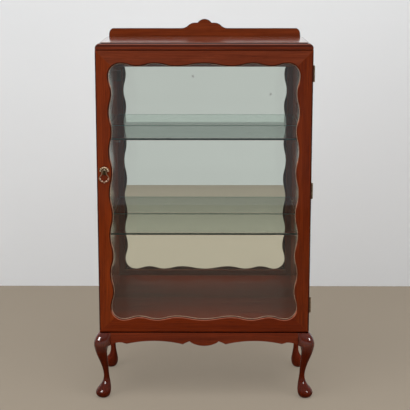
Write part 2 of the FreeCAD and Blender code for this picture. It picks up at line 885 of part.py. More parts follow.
def bail_bow(at):
    """Two tangent arcs from the widest point of the drop round to its lowest one."""
    corner = bail_corner_radius
    offset = bail_half_width - corner
    depth = bail_drop - bail_flare_drop
    radius = (offset ** 2 + depth ** 2 - corner ** 2) / (2 * (depth - corner))
    centre_drop = bail_drop - radius
    turn = atan2(bail_flare_drop - centre_drop, offset)

    def on_corner(angle):
        return at(offset + corner * cos(angle), bail_flare_drop + corner * sin(angle))

    def on_bow(angle):
        return at(radius * cos(angle), centre_drop + radius * sin(angle))

    return [arc(on_corner(0), on_corner(turn / 2), on_corner(turn)),
            arc(on_corner(turn), on_bow((turn + pi / 2) / 2), at(0, bail_drop))]


def bail():
    """A wire drop: a straight bar through the post, arms that turn down and flare, and a flat bow."""
    def at(x, drop):
        return Vector(handle_x + x, bail_y, handle_z - drop)

    arm = bail_bar_half + bail_turn_radius
    bend = bail_turn_radius * sqrt(0.5)
    edges = [line(at(0, 0), at(bail_bar_half, 0)),
             arc(at(bail_bar_half, 0), at(bail_bar_half + bend, bail_turn_radius - bend),
                 at(arm, bail_turn_radius))]
    edges += half_wave(at(arm, bail_turn_radius), at(bail_half_width, bail_flare_drop), along_z)
    edges += bail_bow(at)
    ring = Part.Wire(Part.makeCircle(bail_wire_radius, at(0, 0), along_x))
    right = Part.Wire(edges).makePipeShell([ring], True, False)
    left = right.mirror(at(0, 0), along_x)
    return right.fuse(left)


# Magnetic catch inside the left panel, and its strike on the back of the left stile
catch_z = door_bottom + catch_rise
catch_x0 = -inner_half
catch_x1 = catch_x0 + catch_width
magnet_face = door_back + strike_thickness + catch_air


def catch_screws(fit=0.0):
    reach = catch_height / 2 - catch_screw_inset
    y = case_front + catch_screw_setback
    return [screw(Vector(catch_x1, y, catch_z + side * reach), -along_x, screw_head_radius,
                  screw_shank_radius, screw_head_height, catch_width + screw_length, fit) for side in (-1, 1)]


def strike_screw(fit=0.0):
    x = (catch_x0 + catch_x1) / 2
    return small_screw(Vector(x, door_back + strike_thickness, catch_z), -along_y, fit)


def build_catch():
    top = catch_z + catch_height / 2
    housing = box(catch_x0, catch_x1, case_front, case_front + catch_depth, catch_z - catch_height / 2, top)
    reach = catch_height / 2 - magnet_inset
    magnet = box(catch_x0 + catch_wall, catch_x1 - catch_wall, magnet_face, case_front + catch_depth / 2,
                 catch_z - reach, catch_z + reach)
    save("catch_housing", pierce(housing.cut(magnet), catch_screws(screw_fit)))
    save("catch_magnet", magnet)
    save("catch_screws", *catch_screws())
    middle = (catch_x0 + catch_x1) / 2
    strike = box(middle - strike_width / 2, middle + strike_width / 2, door_back,
                 door_back + strike_thickness, catch_z - strike_height / 2, catch_z + strike_height / 2)
    save("catch_strike", strike.cut(strike_screw(screw_fit)))
    save("strike_screw", strike_screw())


def main():
    os.makedirs("parts", exist_ok=True)
    build_legs()
    build_aprons()
    build_corner_blocks()
    build_case()
    build_back()
    build_top()
    build_shelves()
    build_hinges()
    build_door_frame()
    build_glazing()
    build_handle()
    build_catch()


main()
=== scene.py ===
"""Looks of a glazed display cabinet: finishes, cast handle, pane seal, screw slots, room and camera."""

import logging
import math
from collections.abc import Callable, Iterable
from dataclasses import dataclass, replace
from enum import Enum
from functools import cache

import bpy
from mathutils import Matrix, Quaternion, Vector


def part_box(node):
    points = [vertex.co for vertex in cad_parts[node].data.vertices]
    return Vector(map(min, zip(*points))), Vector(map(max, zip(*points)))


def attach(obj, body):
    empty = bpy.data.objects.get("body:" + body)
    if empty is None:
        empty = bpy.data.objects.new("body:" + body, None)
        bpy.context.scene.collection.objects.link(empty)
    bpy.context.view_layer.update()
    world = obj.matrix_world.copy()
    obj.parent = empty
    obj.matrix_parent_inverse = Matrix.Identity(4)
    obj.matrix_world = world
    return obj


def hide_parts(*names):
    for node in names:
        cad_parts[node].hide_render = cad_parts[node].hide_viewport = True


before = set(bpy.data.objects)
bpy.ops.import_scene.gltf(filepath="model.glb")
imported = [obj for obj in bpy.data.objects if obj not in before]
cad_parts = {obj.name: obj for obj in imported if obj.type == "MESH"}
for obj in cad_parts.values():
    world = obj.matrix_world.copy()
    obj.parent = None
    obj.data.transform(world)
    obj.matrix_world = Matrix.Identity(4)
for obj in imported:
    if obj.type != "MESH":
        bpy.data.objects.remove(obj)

Colour = tuple[float, float, float]
Triple = tuple[float, float, float]
Material = bpy.types.Material
Piece = bpy.types.Object
Socket = bpy.types.NodeSocket
Sockets = dict[str, Socket]
log = logging.getLogger("display_cabinet")


def display_colour(red: int, green: int, blue: int) -> Colour:
    """Turn a colour as a screen shows it into the linear values that shaders use.

    Args:
        red: Red from 0 to 255.
        green: Green from 0 to 255.
        blue: Blue from 0 to 255.

    Returns:
        Linear red, green and blue from 0 to 1.
    """
    def linear(value: int) -> float:
        """Undo the display curve of one channel."""
        share = value / 255
        return share / 12.92 if share <= 0.04045 else ((share + 0.055) / 1.055) ** 2.4

    return (linear(red), linear(green), linear(blue))


class Graph:
    """A node tree under construction, with short calls that add and join nodes."""

    def __init__(self, tree: bpy.types.NodeTree) -> None:
        """Keep the tree, emptied of its first nodes."""
        self.tree = tree
        tree.nodes.clear()

    def feed(self, socket: Socket, value: object) -> None:
        """Set a socket, or join it to what feeds it.

        Args:
            socket: The input socket.
            value: An output socket, a number, a vector or a colour of three values.
        """
        if isinstance(value, Socket):
            self.tree.links.new(value, socket)
        elif socket.type == "RGBA" and len(value) == 3:
            socket.default_value = (*value, 1.0)
        else:
            socket.default_value = value

    def node(self, kind: str, inputs: dict[str | int, object] | None = None,
             **settings: object) -> bpy.types.Node:
        """Add one node.

        Args:
            kind: Type name of the node, without its ShaderNode prefix.
            inputs: Socket name or number to a value, or to the output that feeds it.
            settings: Properties of the node itself.

        Returns:
            The new node.
        """
        name = kind if kind.startswith("NodeGroup") else "ShaderNode" + kind
        made = self.tree.nodes.new(name)
        for key, value in settings.items():
            setattr(made, key, value)
        for key, value in (inputs or {}).items():
            self.feed(made.inputs[key], value)
        return made

    def math(self, operation: str, *values: object) -> Socket:
        """Add a Math node for an operation on numbers or sockets, and give its result."""
        return self.node("Math", dict(enumerate(values)), operation=operation).outputs[0]

    def spread(self, value: object, low: float, high: float, to_low: float = 0.0,
               to_high: float = 1.0) -> Socket:
        """Map a range of values smoothly onto another one.

        Args:
            value: The socket to map.
            low: Value that becomes to_low.
            high: Value that becomes to_high.
            to_low: Start of the new range.
            to_high: End of the new range.

        Returns:
            The mapped value's socket.
        """
        sockets = {"Value": value, "From Min": low, "From Max": high, "To Min": to_low,
                   "To Max": to_high}
        return self.node("MapRange", sockets, interpolation_type="SMOOTHSTEP").outputs[0]

    def mix(self, share: object, first: object, second: object) -> Socket:
        """Mix two colours.

        Args:
            share: Share of the second colour.
            first: First colour or socket.
            second: Second colour or socket.

        Returns:
            The mixed colour's socket.
        """
        made = self.node("Mix", data_type="RGBA")
        colours = [socket for socket in made.inputs if socket.type == "RGBA"]
        self.feed(made.inputs[0], share)
        self.feed(colours[0], first)
        self.feed(colours[1], second)
        return next(socket for socket in made.outputs if socket.type == "RGBA")

    def noise(self, vector: object, cells: Triple | float, detail: float = 4.0, roughness: float = 0.55,
              distortion: float = 0.0) -> Socket:
        """Add a noise.

        Args:
            vector: Coordinates in metres.
            cells: Cells per metre, along x, y and z or the same along all three.
            detail: Number of finer layers.
            roughness: Weight of the finer layers.
            distortion: How far the pattern is pushed about.

        Returns:
            The noise's value socket.
        """
        each = (cells,) * 3 if isinstance(cells, float) else cells
        scaled = self.node("VectorMath", {0: vector, 1: each}, operation="MULTIPLY").outputs[0]
        sockets = {"Vector": scaled, "Scale": 1.0, "Detail": detail, "Roughness": roughness,
                   "Distortion": distortion}
        return self.node("TexNoise", sockets).outputs[0]

    def bump(self, strength: float, depth: float, **sockets: Socket) -> Socket:
        """Add a Bump node on a Height and perhaps a Normal, and give the new normal."""
        return self.node("Bump", {"Strength": strength, "Distance": depth, **sockets}).outputs[0]


@dataclass(frozen=True)
class SharedPattern:
    """A shader node group that several finishes place with their own values."""

    name: str
    inputs: tuple[tuple[str, str], ...]
    outputs: tuple[tuple[str, str], ...]
    fill: Callable[["Graph", bpy.types.Node], Sockets]

    def tree(self) -> bpy.types.NodeTree:
        """Give the group's tree, built at its first use.

        Returns:
            The node group.
        """
        known = bpy.data.node_groups.get(self.name)
        if known:
            return known
        tree = bpy.data.node_groups.new(self.name, "ShaderNodeTree")
        graph = Graph(tree)
        for name, kind in self.inputs:
            tree.interface.new_socket(name, in_out="INPUT", socket_type="NodeSocket" + kind)
        for name, kind in self.outputs:
            tree.interface.new_socket(name, in_out="OUTPUT", socket_type="NodeSocket" + kind)
        results = self.fill(graph, graph.node("NodeGroupInput"))
        graph.node("NodeGroupOutput", results)
        return tree

    def place(self, graph: Graph, inputs: dict[str, object]) -> Sockets:
        """Put the group into a material.

        Args:
            graph: The material's nodes.
            inputs: Values or sockets for the group's inputs.

        Returns:
            The group's outputs by name.
        """
        node = graph.node("Group", node_tree=self.tree())
        for name, value in inputs.items():
            graph.feed(node.inputs[name], value)
        return {socket.name: socket for socket in node.outputs}


def fill_grain(graph: Graph, given: bpy.types.Node) -> Sockets:
    """Grain that runs along x: broad figure, ribbon bands and fine open pores.

    Args:
        graph: The group's nodes.
        given: The group's input node.

    Returns:
        The group's results by output name.
    """
    place = given.outputs["Vector"]
    figure = graph.noise(place, (2.0, 30.0, 30.0), detail=6.0, roughness=0.62, distortion=0.9)
    ribbon = graph.noise(place, (0.7, 8.0, 8.0), detail=2.0)
    fibre = graph.noise(place, (9.0, 330.0, 330.0), detail=3.0)
    pores = graph.spread(graph.noise(place, (28.0, 1100.0, 1100.0), detail=1.0), 0.6, 0.72)
    streak = graph.math("ADD", graph.math("MULTIPLY", figure, 0.62),
                        graph.math("MULTIPLY", ribbon, 0.38))
    colour = graph.mix(graph.spread(streak, 0.34, 0.66), given.outputs["Dark"], given.outputs["Light"])
    fibre_shade = graph.spread(fibre, 0.3, 0.7, 0.82, 1.12)
    pore_shade = graph.math("SUBTRACT", 1.0, graph.math("MULTIPLY", pores, 0.4))
    shade = graph.math("MULTIPLY", fibre_shade, pore_shade)
    tinted = graph.node("VectorMath", {0: colour, "Scale": shade}, operation="SCALE").outputs[0]
    height = graph.math("SUBTRACT", graph.math("MULTIPLY", fibre, 0.4), pores)
    return {"Colour": tinted, "Height": height}


def fill_wear_and_shade(graph: Graph, given: bpy.types.Node) -> Sockets:
    """A broken mask of where handling has thinned the finish on the arrises, and painted shade in the
    corners.

    Args:
        graph: The group's nodes.
        given: The group's input node.

    Returns:
        The group's results by output name.
    """
    rounded = graph.node("Bevel", {"Radius": given.outputs["Radius"]}, samples=4).outputs[0]
    # Painted shade: ambient occlusion marks corners and crevices, where the wood is painted darker.
    near = graph.node("AmbientOcclusion", {"Distance": 0.005}, samples=4).outputs["AO"]
    flat = graph.node("NewGeometry").outputs["Normal"]
    agree = graph.node("VectorMath", {0: rounded, 1: flat}, operation="DOT_PRODUCT").outputs["Value"]
    edge = graph.spread(agree, 0.995, 0.86)
    patches = graph.noise(given.outputs["Vector"], 26.0, detail=5.0)
    broken = graph.spread(patches, 0.38, 0.62)
    return {"Mask": graph.math("MULTIPLY", edge, broken), "Dirt": graph.spread(near, 0.75, 0.25),
            "Normal": rounded}


def fill_handling(graph: Graph, given: bpy.types.Node) -> Sockets:
    """Faint wipe marks and dust, as a value between two limits.

    Args:
        graph: The group's nodes.
        given: The group's input node.

    Returns:
        The group's results by output name.
    """
    place = given.outputs["Vector"]
    wipes = graph.noise(place, (5.0, 9.0, 14.0), detail=5.0, distortion=1.4)
    specks = graph.spread(graph.noise(place, 240.0, detail=2.0), 0.66, 0.74)
    marks = graph.math("ADD", graph.spread(wipes, 0.35, 0.7), graph.math("MULTIPLY", specks, 0.5))
    reach = graph.math("SUBTRACT", given.outputs["High"], given.outputs["Low"])
    return {"Value": graph.math("ADD", given.outputs["Low"], graph.math("MULTIPLY", marks, reach))}


def fill_facing(graph: Graph, given: bpy.types.Node) -> Sockets:
    """Masks of which way a surface faces, from its own normal.

    Args:
        graph: The group's nodes.
        given: The group's input node.

    Returns:
        The group's results by output name.
    """
    parts = graph.node("SeparateXYZ", {0: given.outputs["Normal"]}).outputs
    across = graph.math("ABSOLUTE", parts["X"])
    deep = graph.math("ABSOLUTE", parts["Y"])
    steep = graph.math("SUBTRACT", 1.0, graph.spread(parts["Z"], 0.45, 0.62))
    flat = graph.math("SUBTRACT", 1.0, graph.spread(parts["Z"], 0.66, 0.74))
    return {"Front": graph.spread(parts["Y"], -0.9, -0.99),
            "Rising": graph.math("MULTIPLY", graph.spread(parts["Z"], 0.1, 0.26), steep),
            "Sloping": graph.math("MULTIPLY", graph.spread(parts["Z"], 0.36, 0.46), flat),
            "Crown": graph.spread(parts["Z"], 0.04, 0.4),
            "Level": graph.spread(parts["Z"], 0.72, 0.84),
            "Turned": graph.spread(deep, 0.9995, 0.96),
            "Side": graph.spread(across, 0.25, 0.8),
            "Rear": graph.spread(parts["Y"], 0.4, 0.8),
            "Across": parts["X"]}


WOOD_GRAIN = SharedPattern("wood_grain", (("Vector", "Vector"), ("Light", "Color"), ("Dark", "Color")),
                           (("Colour", "Color"), ("Height", "Float")), fill_grain)
# Besides the rubbed arrises, this group gives painted shade for corners, from ambient occlusion.
WEAR_AND_CORNER_SHADE = SharedPattern("wear_and_corner_shade", (("Vector", "Vector"), ("Radius", "Float")),
                          (("Mask", "Float"), ("Dirt", "Float"), ("Normal", "Vector")), fill_wear_and_shade)
FACING = SharedPattern("facing", (("Normal", "Vector"),),
                       tuple((name, "Float") for name in ("Front", "Rising", "Sloping", "Crown", "Level",
                                                          "Turned", "Side", "Rear", "Across")),
                       fill_facing)
HANDLING = SharedPattern("handling_marks", (("Vector", "Vector"), ("Low", "Float"), ("High", "Float")),
                         (("Value", "Float"),), fill_handling)


class Grain(Enum):
    """The way the grain runs in a board, as the turn that brings it onto the pattern's x."""

    ALONG_X = (0.0, 0.0, 0.0)
    ALONG_Y = (0.0, 0.0, -math.pi / 2)
    ALONG_Z = (0.0, math.pi / 2, 0.0)


class Facing(Enum):
    """Which way a part of a surface faces, as an output of the facing pattern."""

    FRONT = "Front"
    RISING = "Rising"
    SLOPING = "Sloping"
    CROWN = "Crown"
    LEVEL = "Level"
    TURNED = "Turned"
    SIDE = "Side"
    REAR = "Rear"


def new_material(name: str) -> tuple[Material, Graph, Socket, Socket]:
    """Start a material.

    Args:
        name: Name of the material.

    Returns:
        The material, its nodes, the object coordinates and the object's own normal.
    """
    material = bpy.data.materials.new(name)
    material.use_nodes = True
    graph = Graph(material.node_tree)
    coordinates = graph.node("TexCoord").outputs
    return material, graph, coordinates["Object"], coordinates["Normal"]


def lay_grain(graph: Graph, place: Socket, grain: Grain, light: Colour, dark: Colour) -> Sockets:
    """Put wood grain of two colours into a material, and give its colour and height."""
    turned = graph.node("Mapping", {"Vector": place, "Rotation": grain.value}).outputs[0]
    return WOOD_GRAIN.place(graph, {"Vector": turned, "Light": light, "Dark": dark})


@dataclass(frozen=True)
class Zone:
    """The part of a surface that faces one way, within limits of place.

    With across it leaves out what faces towards the middle (1) or away from it (-1). Past the limits
    above and below it keeps rest_share.
    """

    facing: Facing | None = None
    share: float = 1.0
    front_of: float | None = None
    above: float | None = None
    below: float | None = None
    rest_share: float = 0.0
    soft: float = 0.0002
    across: int = 0

    def mask(self, graph: Graph, masks: Sockets, place: Socket) -> Socket:
        """Work out where the zone lies.

        Args:
            graph: The material's nodes.
            masks: Outputs of the facing pattern.
            place: Object coordinates.

        Returns:
            The zone's share as a socket.
        """
        parts = graph.node("SeparateXYZ", {0: place}).outputs
        limits = []
        if self.facing:
            limits.append(masks[self.facing.value])
        if self.front_of is not None:
            limits.append(graph.math("LESS_THAN", parts["Y"], self.front_of))
        for limit, soft in ((self.above, self.soft), (self.below, -self.soft)):
            if limit is not None:
                limits.append(graph.spread(parts["Z"], limit - soft, limit + soft, self.rest_share))
        if self.across:
            side = graph.math("MULTIPLY", graph.math("SIGN", parts["X"]), float(self.across))
            limits.append(graph.spread(graph.math("MULTIPLY", masks["Across"], side), -0.3, -0.1))
        mask = limits[0]
        for limit in limits[1:]:
            mask = graph.math("MULTIPLY", mask, limit)
        return graph.math("MULTIPLY", mask, self.share)


@dataclass(frozen=True)
class Tone:
    """A colour of painted light and shade that a finish takes on in one zone, where it may also have lost
    its gloss.
    """

    zone: Zone
    colour: Colour
    dulled: bool = False


@dataclass(frozen=True)
class LacqueredWood:
    """Wood under a clear gloss lacquer, lighter where it is rubbed, with painted shade in its corners and
    tones of painted light and shade.
    """

    name: str
    light: Colour
    dark: Colour
    worn: Colour
    gloss: float = 0.09
    dull: float = 0.2
    shine: float = 0.12
    arris: float = 0.0009
    relief: float = 0.06
    relief_depth: float = 0.0003
    wear_share: float = 0.5
    # The next two set the painted shade in corners and crevices: how much of it, and how dark against the
    # dark wood.
    corner_shade_share: float = 0.85
    corner_shade_factor: float = 0.25
    tones: tuple[Tone, ...] = ()
    polished: tuple[Zone, ...] = ()
    polish: float = 0.05

    @cache
    def material(self, grain: Grain) -> Material:
        """Build the finish for one grain direction.

        Args:
            grain: The way the grain runs.

        Returns:
            The material.
        """
        material, graph, place, facing = new_material(f"{self.name}_{grain.name.lower()}")
        wood = lay_grain(graph, place, grain, self.light, self.dark)
        wear_and_shade = WEAR_AND_CORNER_SHADE.place(graph, {"Vector": place, "Radius": self.arris})
        marks = HANDLING.place(graph, {"Vector": place, "Low": self.gloss, "High": self.dull})
        masks = FACING.place(graph, {"Normal": facing})
        corner_shade = tuple(self.corner_shade_factor * value for value in self.dark)
        colour = graph.mix(graph.math("MULTIPLY", wear_and_shade["Mask"], self.wear_share), wood["Colour"], self.worn)
        rough = marks["Value"]
        for tone in self.tones:
            share = tone.zone.mask(graph, masks, place)
            colour = graph.mix(share, colour, tone.colour)
            if tone.dulled:
                rough = graph.math("MAXIMUM", rough, share)
        # Painted shade: corners and crevices darken towards a darker copy of the wood.
        colour = graph.mix(graph.math("MULTIPLY", wear_and_shade["Dirt"], self.corner_shade_share), colour, corner_shade)
        normal = graph.bump(self.relief, self.relief_depth, Height=wood["Height"], Normal=wear_and_shade["Normal"])
        shader = graph.node("BsdfPrincipled", {"Base Color": colour, "Roughness": rough,
                                               "Specular IOR Level": self.shine, "Normal": normal})
        if self.polished:
            coat = self.polished[0].mask(graph, masks, place)
            for zone in self.polished[1:]:
                coat = graph.math("MAXIMUM", coat, zone.mask(graph, masks, place))
            graph.feed(shader.inputs["Coat Weight"], coat)
            graph.feed(shader.inputs["Coat Roughness"], self.polish)
        graph.node("OutputMaterial", {"Surface": shader.outputs[0]})
        return material


@dataclass(frozen=True)
class BareWood:
    """Unfinished timber or sheet wood."""

    name: str
    light: Colour
    dark: Colour
    roughness: float = 0.72
    dusty: float = 0.92
    shine: float = 0.25
    relief: float = 0.25
    relief_depth: float = 0.0004

    @cache
    def material(self, grain: Grain) -> Material:
        """Build the finish for one grain direction.

        Args:
            grain: The way the grain runs.

        Returns:
            The material.
        """
        material, graph, place, _ = new_material(f"{self.name}_{grain.name.lower()}")
        wood = lay_grain(graph, place, grain, self.light, self.dark)
        marks = HANDLING.place(graph, {"Vector": place, "Low": self.roughness, "High": self.dusty})
        normal = graph.bump(self.relief, self.relief_depth, Height=wood["Height"])
        shader = graph.node("BsdfPrincipled", {"Base Color": wood["Colour"], "Roughness": marks["Value"],
                                               "Specular IOR Level": self.shine, "Normal": normal})
        graph.node("OutputMaterial", {"Surface": shader.outputs[0]})
        return material


@dataclass(frozen=True)
class ClearGlass:
    """Glass that lets lamps through, with its own colour inside and, on a shelf, deep green cut edges."""

    name: str
    inside: Colour
    density: float
    bending: float = 1.5
    edge: Colour | None = None
    ground: float = 0.3
    cloudy: float = 1.6
    ripple: float = 0.05
    ripple_depth: float = 0.0004
    lamp_base: float = 0.5
    lamp_share: float = 0.46

    @cache
    def material(self) -> Material:
        """Build the glass.

        Returns:
            The material.
        """
        material, graph, place, facing = new_material(self.name)
        draw = graph.noise(place, (3.0, 3.0, 0.8), detail=1.0)
        normal = graph.bump(self.ripple, self.ripple_depth, Height=draw)
        shader = graph.node("BsdfPrincipled", {"Base Color": (1.0, 1.0, 1.0), "Roughness": 0.0,
                                               "IOR": self.bending, "Transmission Weight": 1.0,
                                               "Normal": normal})
        if self.edge:
            level = graph.math("ABSOLUTE", graph.node("SeparateXYZ", {0: facing}).outputs["Z"])
            cut = graph.spread(level, 0.8, 0.6)
            cloud = graph.noise(place, 30.0, detail=3.0)
            green = graph.mix(cloud, self.edge, tuple(self.cloudy * value for value in self.edge))
            graph.feed(shader.inputs["Base Color"], graph.mix(cut, (1.0, 1.0, 1.0), green))
            graph.feed(shader.inputs["Roughness"], graph.math("MULTIPLY", cut, self.ground))
        passed = tuple(self.lamp_base + self.lamp_share * value for value in self.inside)
        through = graph.node("BsdfTransparent", {"Color": passed})
        path = graph.node("LightPath")
        lamps = graph.math("MAXIMUM", path.outputs["Is Shadow Ray"], path.outputs["Is Diffuse Ray"])
        surface = graph.node("MixShader", {0: lamps, 1: shader.outputs[0], 2: through.outputs[0]})
        inside = graph.node("VolumeAbsorption", {"Color": self.inside, "Density": self.density})
        graph.node("OutputMaterial", {"Surface": surface.outputs[0], "Volume": inside.outputs[0]})
        return material


@dataclass(frozen=True)
class SilveredMirror:
    """Old plate mirror with a slight green cast and a few lost flecks of silver."""

    name: str
    tint: Colour
    fleck: Colour
    fleck_cells: float = 2.4
    fleck_edge: tuple[float, float] = (0.024, 0.016)
    raggedness: float = 0.02
    haze: float = 0.02

    @cache
    def material(self) -> Material:
        """Build the mirror.

        Returns:
            The material.
        """
        material, graph, place, _ = new_material(self.name)
        parts = graph.node("SeparateXYZ", {0: place}).outputs
        flat = graph.node("CombineXYZ", {"X": parts["X"], "Y": parts["Z"]}).outputs[0]
        cells = graph.node("TexVoronoi", {"Vector": flat, "Scale": self.fleck_cells}, feature="F1",
                           voronoi_dimensions="2D").outputs["Distance"]
        ragged = graph.noise(place, 210.0, detail=2.0)
        near = graph.math("ADD", cells, graph.math("MULTIPLY", ragged, self.raggedness))
        flecks = graph.spread(near, *self.fleck_edge)
        marks = HANDLING.place(graph, {"Vector": place, "Low": 0.0, "High": self.haze})
        colour = graph.mix(flecks, self.tint, self.fleck)
        shader = graph.node("BsdfPrincipled", {"Base Color": colour, "Metallic": 1.0,
                                               "Roughness": marks["Value"]})
        graph.node("OutputMaterial", {"Surface": shader.outputs[0]})
        return material


@dataclass(frozen=True)
class AgedMetal:
    """Metal that is bright where it is rubbed and dark where it is not."""

    name: str
    bright: Colour
    dark: Colour
    patina: float
    roughness: float
    smears: float = 0.25
    arris: float = 0.0005

    @cache
    def material(self) -> Material:
        """Build the metal.

        Returns:
            The material.
        """
        material, graph, place, _ = new_material(self.name)
        wear_and_shade = WEAR_AND_CORNER_SHADE.place(graph, {"Vector": place, "Radius": self.arris})
        marks = HANDLING.place(graph, {"Vector": place, "Low": self.roughness,
                                       "High": self.roughness + self.smears})
        tarnish = graph.spread(graph.noise(place, 160.0, detail=5.0), 0.3, 0.75)
        dull = graph.math("MULTIPLY", tarnish, self.patina)
        left = graph.math("SUBTRACT", dull, wear_and_shade["Mask"])
        colour = graph.mix(graph.math("MAXIMUM", left, 0.0), self.bright, self.dark)
        shader = graph.node("BsdfPrincipled", {"Base Color": colour, "Metallic": 1.0,
                                               "Roughness": marks["Value"], "Normal": wear_and_shade["Normal"]})
        graph.node("OutputMaterial", {"Surface": shader.outputs[0]})
        return material


@dataclass(frozen=True)
class MouldedBody:
    """Plastic or ferrite with a fine moulded texture."""

    name: str
    colour: Colour
    roughness: float
    smears: float = 0.2
    arris: float = 0.0005
    shade: float = 0.5
    shade_share: float = 0.3
    relief: float = 0.12
    relief_depth: float = 0.0001

    @cache
    def material(self) -> Material:
        """Build the finish.

        Returns:
            The material.
        """
        material, graph, place, _ = new_material(self.name)
        grit = graph.noise(place, 900.0, detail=2.0)
        wear_and_shade = WEAR_AND_CORNER_SHADE.place(graph, {"Vector": place, "Radius": self.arris})
        marks = HANDLING.place(graph, {"Vector": place, "Low": self.roughness,
                                       "High": self.roughness + self.smears})
        shaded = tuple(self.shade * value for value in self.colour)
        colour = graph.mix(graph.math("MULTIPLY", grit, self.shade_share), self.colour, shaded)
        normal = graph.bump(self.relief, self.relief_depth, Height=grit, Normal=wear_and_shade["Normal"])
        shader = graph.node("BsdfPrincipled", {"Base Color": colour, "Roughness": marks["Value"],
                                               "Normal": normal})
        graph.node("OutputMaterial", {"Surface": shader.outputs[0]})
        return material


@dataclass(frozen=True)
class SealBead:
    """The pale, slightly cloudy bead that beds the pane in the door."""

    name: str
    colour: Colour
    shade: float = 0.55
    gloss: float = 0.25
    dull: float = 0.5

    @cache
    def material(self) -> Material:
        """Build the bead's finish.

        Returns:
            The material.
        """
        material, graph, place, _ = new_material(self.name)
        cloud = graph.spread(graph.noise(place, 60.0, detail=4.0), 0.3, 0.7)
        colour = graph.mix(cloud, tuple(self.shade * value for value in self.colour), self.colour)
        marks = HANDLING.place(graph, {"Vector": place, "Low": self.gloss, "High": self.dull})
        shader = graph.node("BsdfPrincipled", {"Base Color": colour, "Roughness": marks["Value"]})
        graph.node("OutputMaterial", {"Surface": shader.outputs[0]})
        return material


@dataclass(frozen=True)
class StagePaint:
    """A plain surface of the room, with a share of its colour that glows as painted light, so no shadow
    dims it.

    A floor may have a painted pool of light some way in front of the object, seen only in
    reflections and through glass.
    """

    name: str
    colour: Colour
    pool: Colour | None = None
    pool_front: tuple[float, float] = (-3.0, -1.9)
    pool_back: tuple[float, float] = (-0.35, -1.0)
    glow: float = 0.0
    seen_from_behind: bool = False
    reflected_only: bool = False
    uneven: float = 0.015
    roughness: float = 0.8
    shine: float = 0.1

    @cache
    def material(self) -> Material:
        """Build the paint.

        Returns:
            The material.
        """
        material, graph, place, _ = new_material(self.name)
        patches = graph.noise(place, 0.6, detail=3.0)
        cloud = graph.spread(patches, 0.3, 0.7, 1.0 - self.uneven, 1.0 + self.uneven)
        path = graph.node("LightPath").outputs
        mirrored = graph.math("MAXIMUM", path["Is Glossy Ray"], path["Is Transmission Ray"])
        tint = self.colour
        # Painted pool of light: the floor is painted brighter some way in front of the object, only in
        # reflections and through glass.
        if self.pool:
            depth = graph.node("SeparateXYZ", {0: place}).outputs["Y"]
            pooled = graph.math("MULTIPLY", graph.spread(depth, *self.pool_back),
                                graph.spread(depth, *self.pool_front))
            tint = graph.mix(graph.math("MULTIPLY", pooled, mirrored), self.colour, self.pool)
        colour = graph.node("VectorMath", {0: tint, "Scale": cloud}, operation="SCALE").outputs[0]
        shader = graph.node("BsdfPrincipled", {"Base Color": colour, "Roughness": self.roughness,
                                               "Specular IOR Level": self.shine})
        surface = shader.outputs[0]
        clear = graph.node("BsdfTransparent").outputs[0]
        # Painted light: a share of the colour glows for camera, reflected and refracted rays, so shadows on
        # the surface show lighter.
        if self.glow:
            shown = graph.math("MAXIMUM", path["Is Camera Ray"], mirrored)
            seen = graph.math("MULTIPLY", shown, self.glow)
            light = graph.node("Emission", {"Color": colour, "Strength": 1.0}).outputs[0]
            surface = graph.node("MixShader", {0: seen, 1: surface, 2: light}).outputs[0]
        if self.reflected_only:
            direct = path["Is Camera Ray"]
            surface = graph.node("MixShader", {0: direct, 1: surface, 2: clear}).outputs[0]
        if not self.seen_from_behind:
            behind = graph.node("NewGeometry").outputs["Backfacing"]
            surface = graph.node("MixShader", {0: behind, 1: surface, 2: clear}).outputs[0]
        graph.node("OutputMaterial", {"Surface": surface})
        return material


# Painted shade: the near-black brown put on edges turned from the light, on dark bands of the mouldings and
# in grooves.
EDGE_SHADE = display_colour(44, 14, 5)
WORN_CASE = display_colour(150, 78, 36)
WORN_BASE = display_colour(128, 62, 36)
EDGE_MARGIN = 0.008
SMOOTH_ANGLE = math.radians(35)
PANE_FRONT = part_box("door_glass")[0].y
EDGE_BACK = PANE_FRONT + 0.0004
DOOR_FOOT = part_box("door_bottom_rail")[0].z + EDGE_MARGIN
DOOR_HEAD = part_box("door_top_rail")[1].z - EDGE_MARGIN
TOP_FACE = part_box("top_board")[1].z
TOP_SKIN = TOP_FACE - 0.0008
TOP_ARRIS = TOP_FACE - 0.0012
TOP_GROOVE = TOP_FACE - 0.0046
KNEE = 0.168
MAHOGANY = LacqueredWood("mahogany", light=display_colour(114, 44, 12), dark=display_colour(94, 32, 7),
                         worn=WORN_CASE, gloss=0.08, dull=0.14, shine=0.4, relief=0.03)
# Painted light: the inner faces of the side panels are painted lighter and warmer.
INSIDE_LIT_MAHOGANY = replace(MAHOGANY, name="inside_lit_mahogany",
                        tones=(Tone(Zone(Facing.SIDE, 0.8, across=-1), display_colour(172, 78, 36)),))
# Painted shade: the gallery's top and ends, turned from the front, are painted dark.
GALLERY_MAHOGANY = LacqueredWood("gallery_mahogany", light=display_colour(106, 43, 14),
                                 dark=display_colour(86, 31, 7), worn=display_colour(120, 60, 32),
                                 tones=(Tone(Zone(Facing.TURNED, 0.8), EDGE_SHADE, dulled=True),))
# Painted shade: the door's rounded edges in front of the pane are painted dark; on the right stile only the
# edges facing away from the middle, away from the light on the left.
DOOR_EDGE_SHADE = Tone(Zone(Facing.TURNED, 0.85, front_of=EDGE_BACK, above=DOOR_FOOT, below=DOOR_HEAD),
                 EDGE_SHADE, dulled=True)
OUTER_EDGE_SHADE = replace(DOOR_EDGE_SHADE, zone=replace(DOOR_EDGE_SHADE.zone, across=1))
# Painted highlight: the rising lower edges of the opening are painted pale.
DOOR_LEDGE_HIGHLIGHT = Tone(Zone(Facing.RISING, 0.6, front_of=PANE_FRONT, below=DOOR_HEAD),
                  display_colour(190, 112, 82))
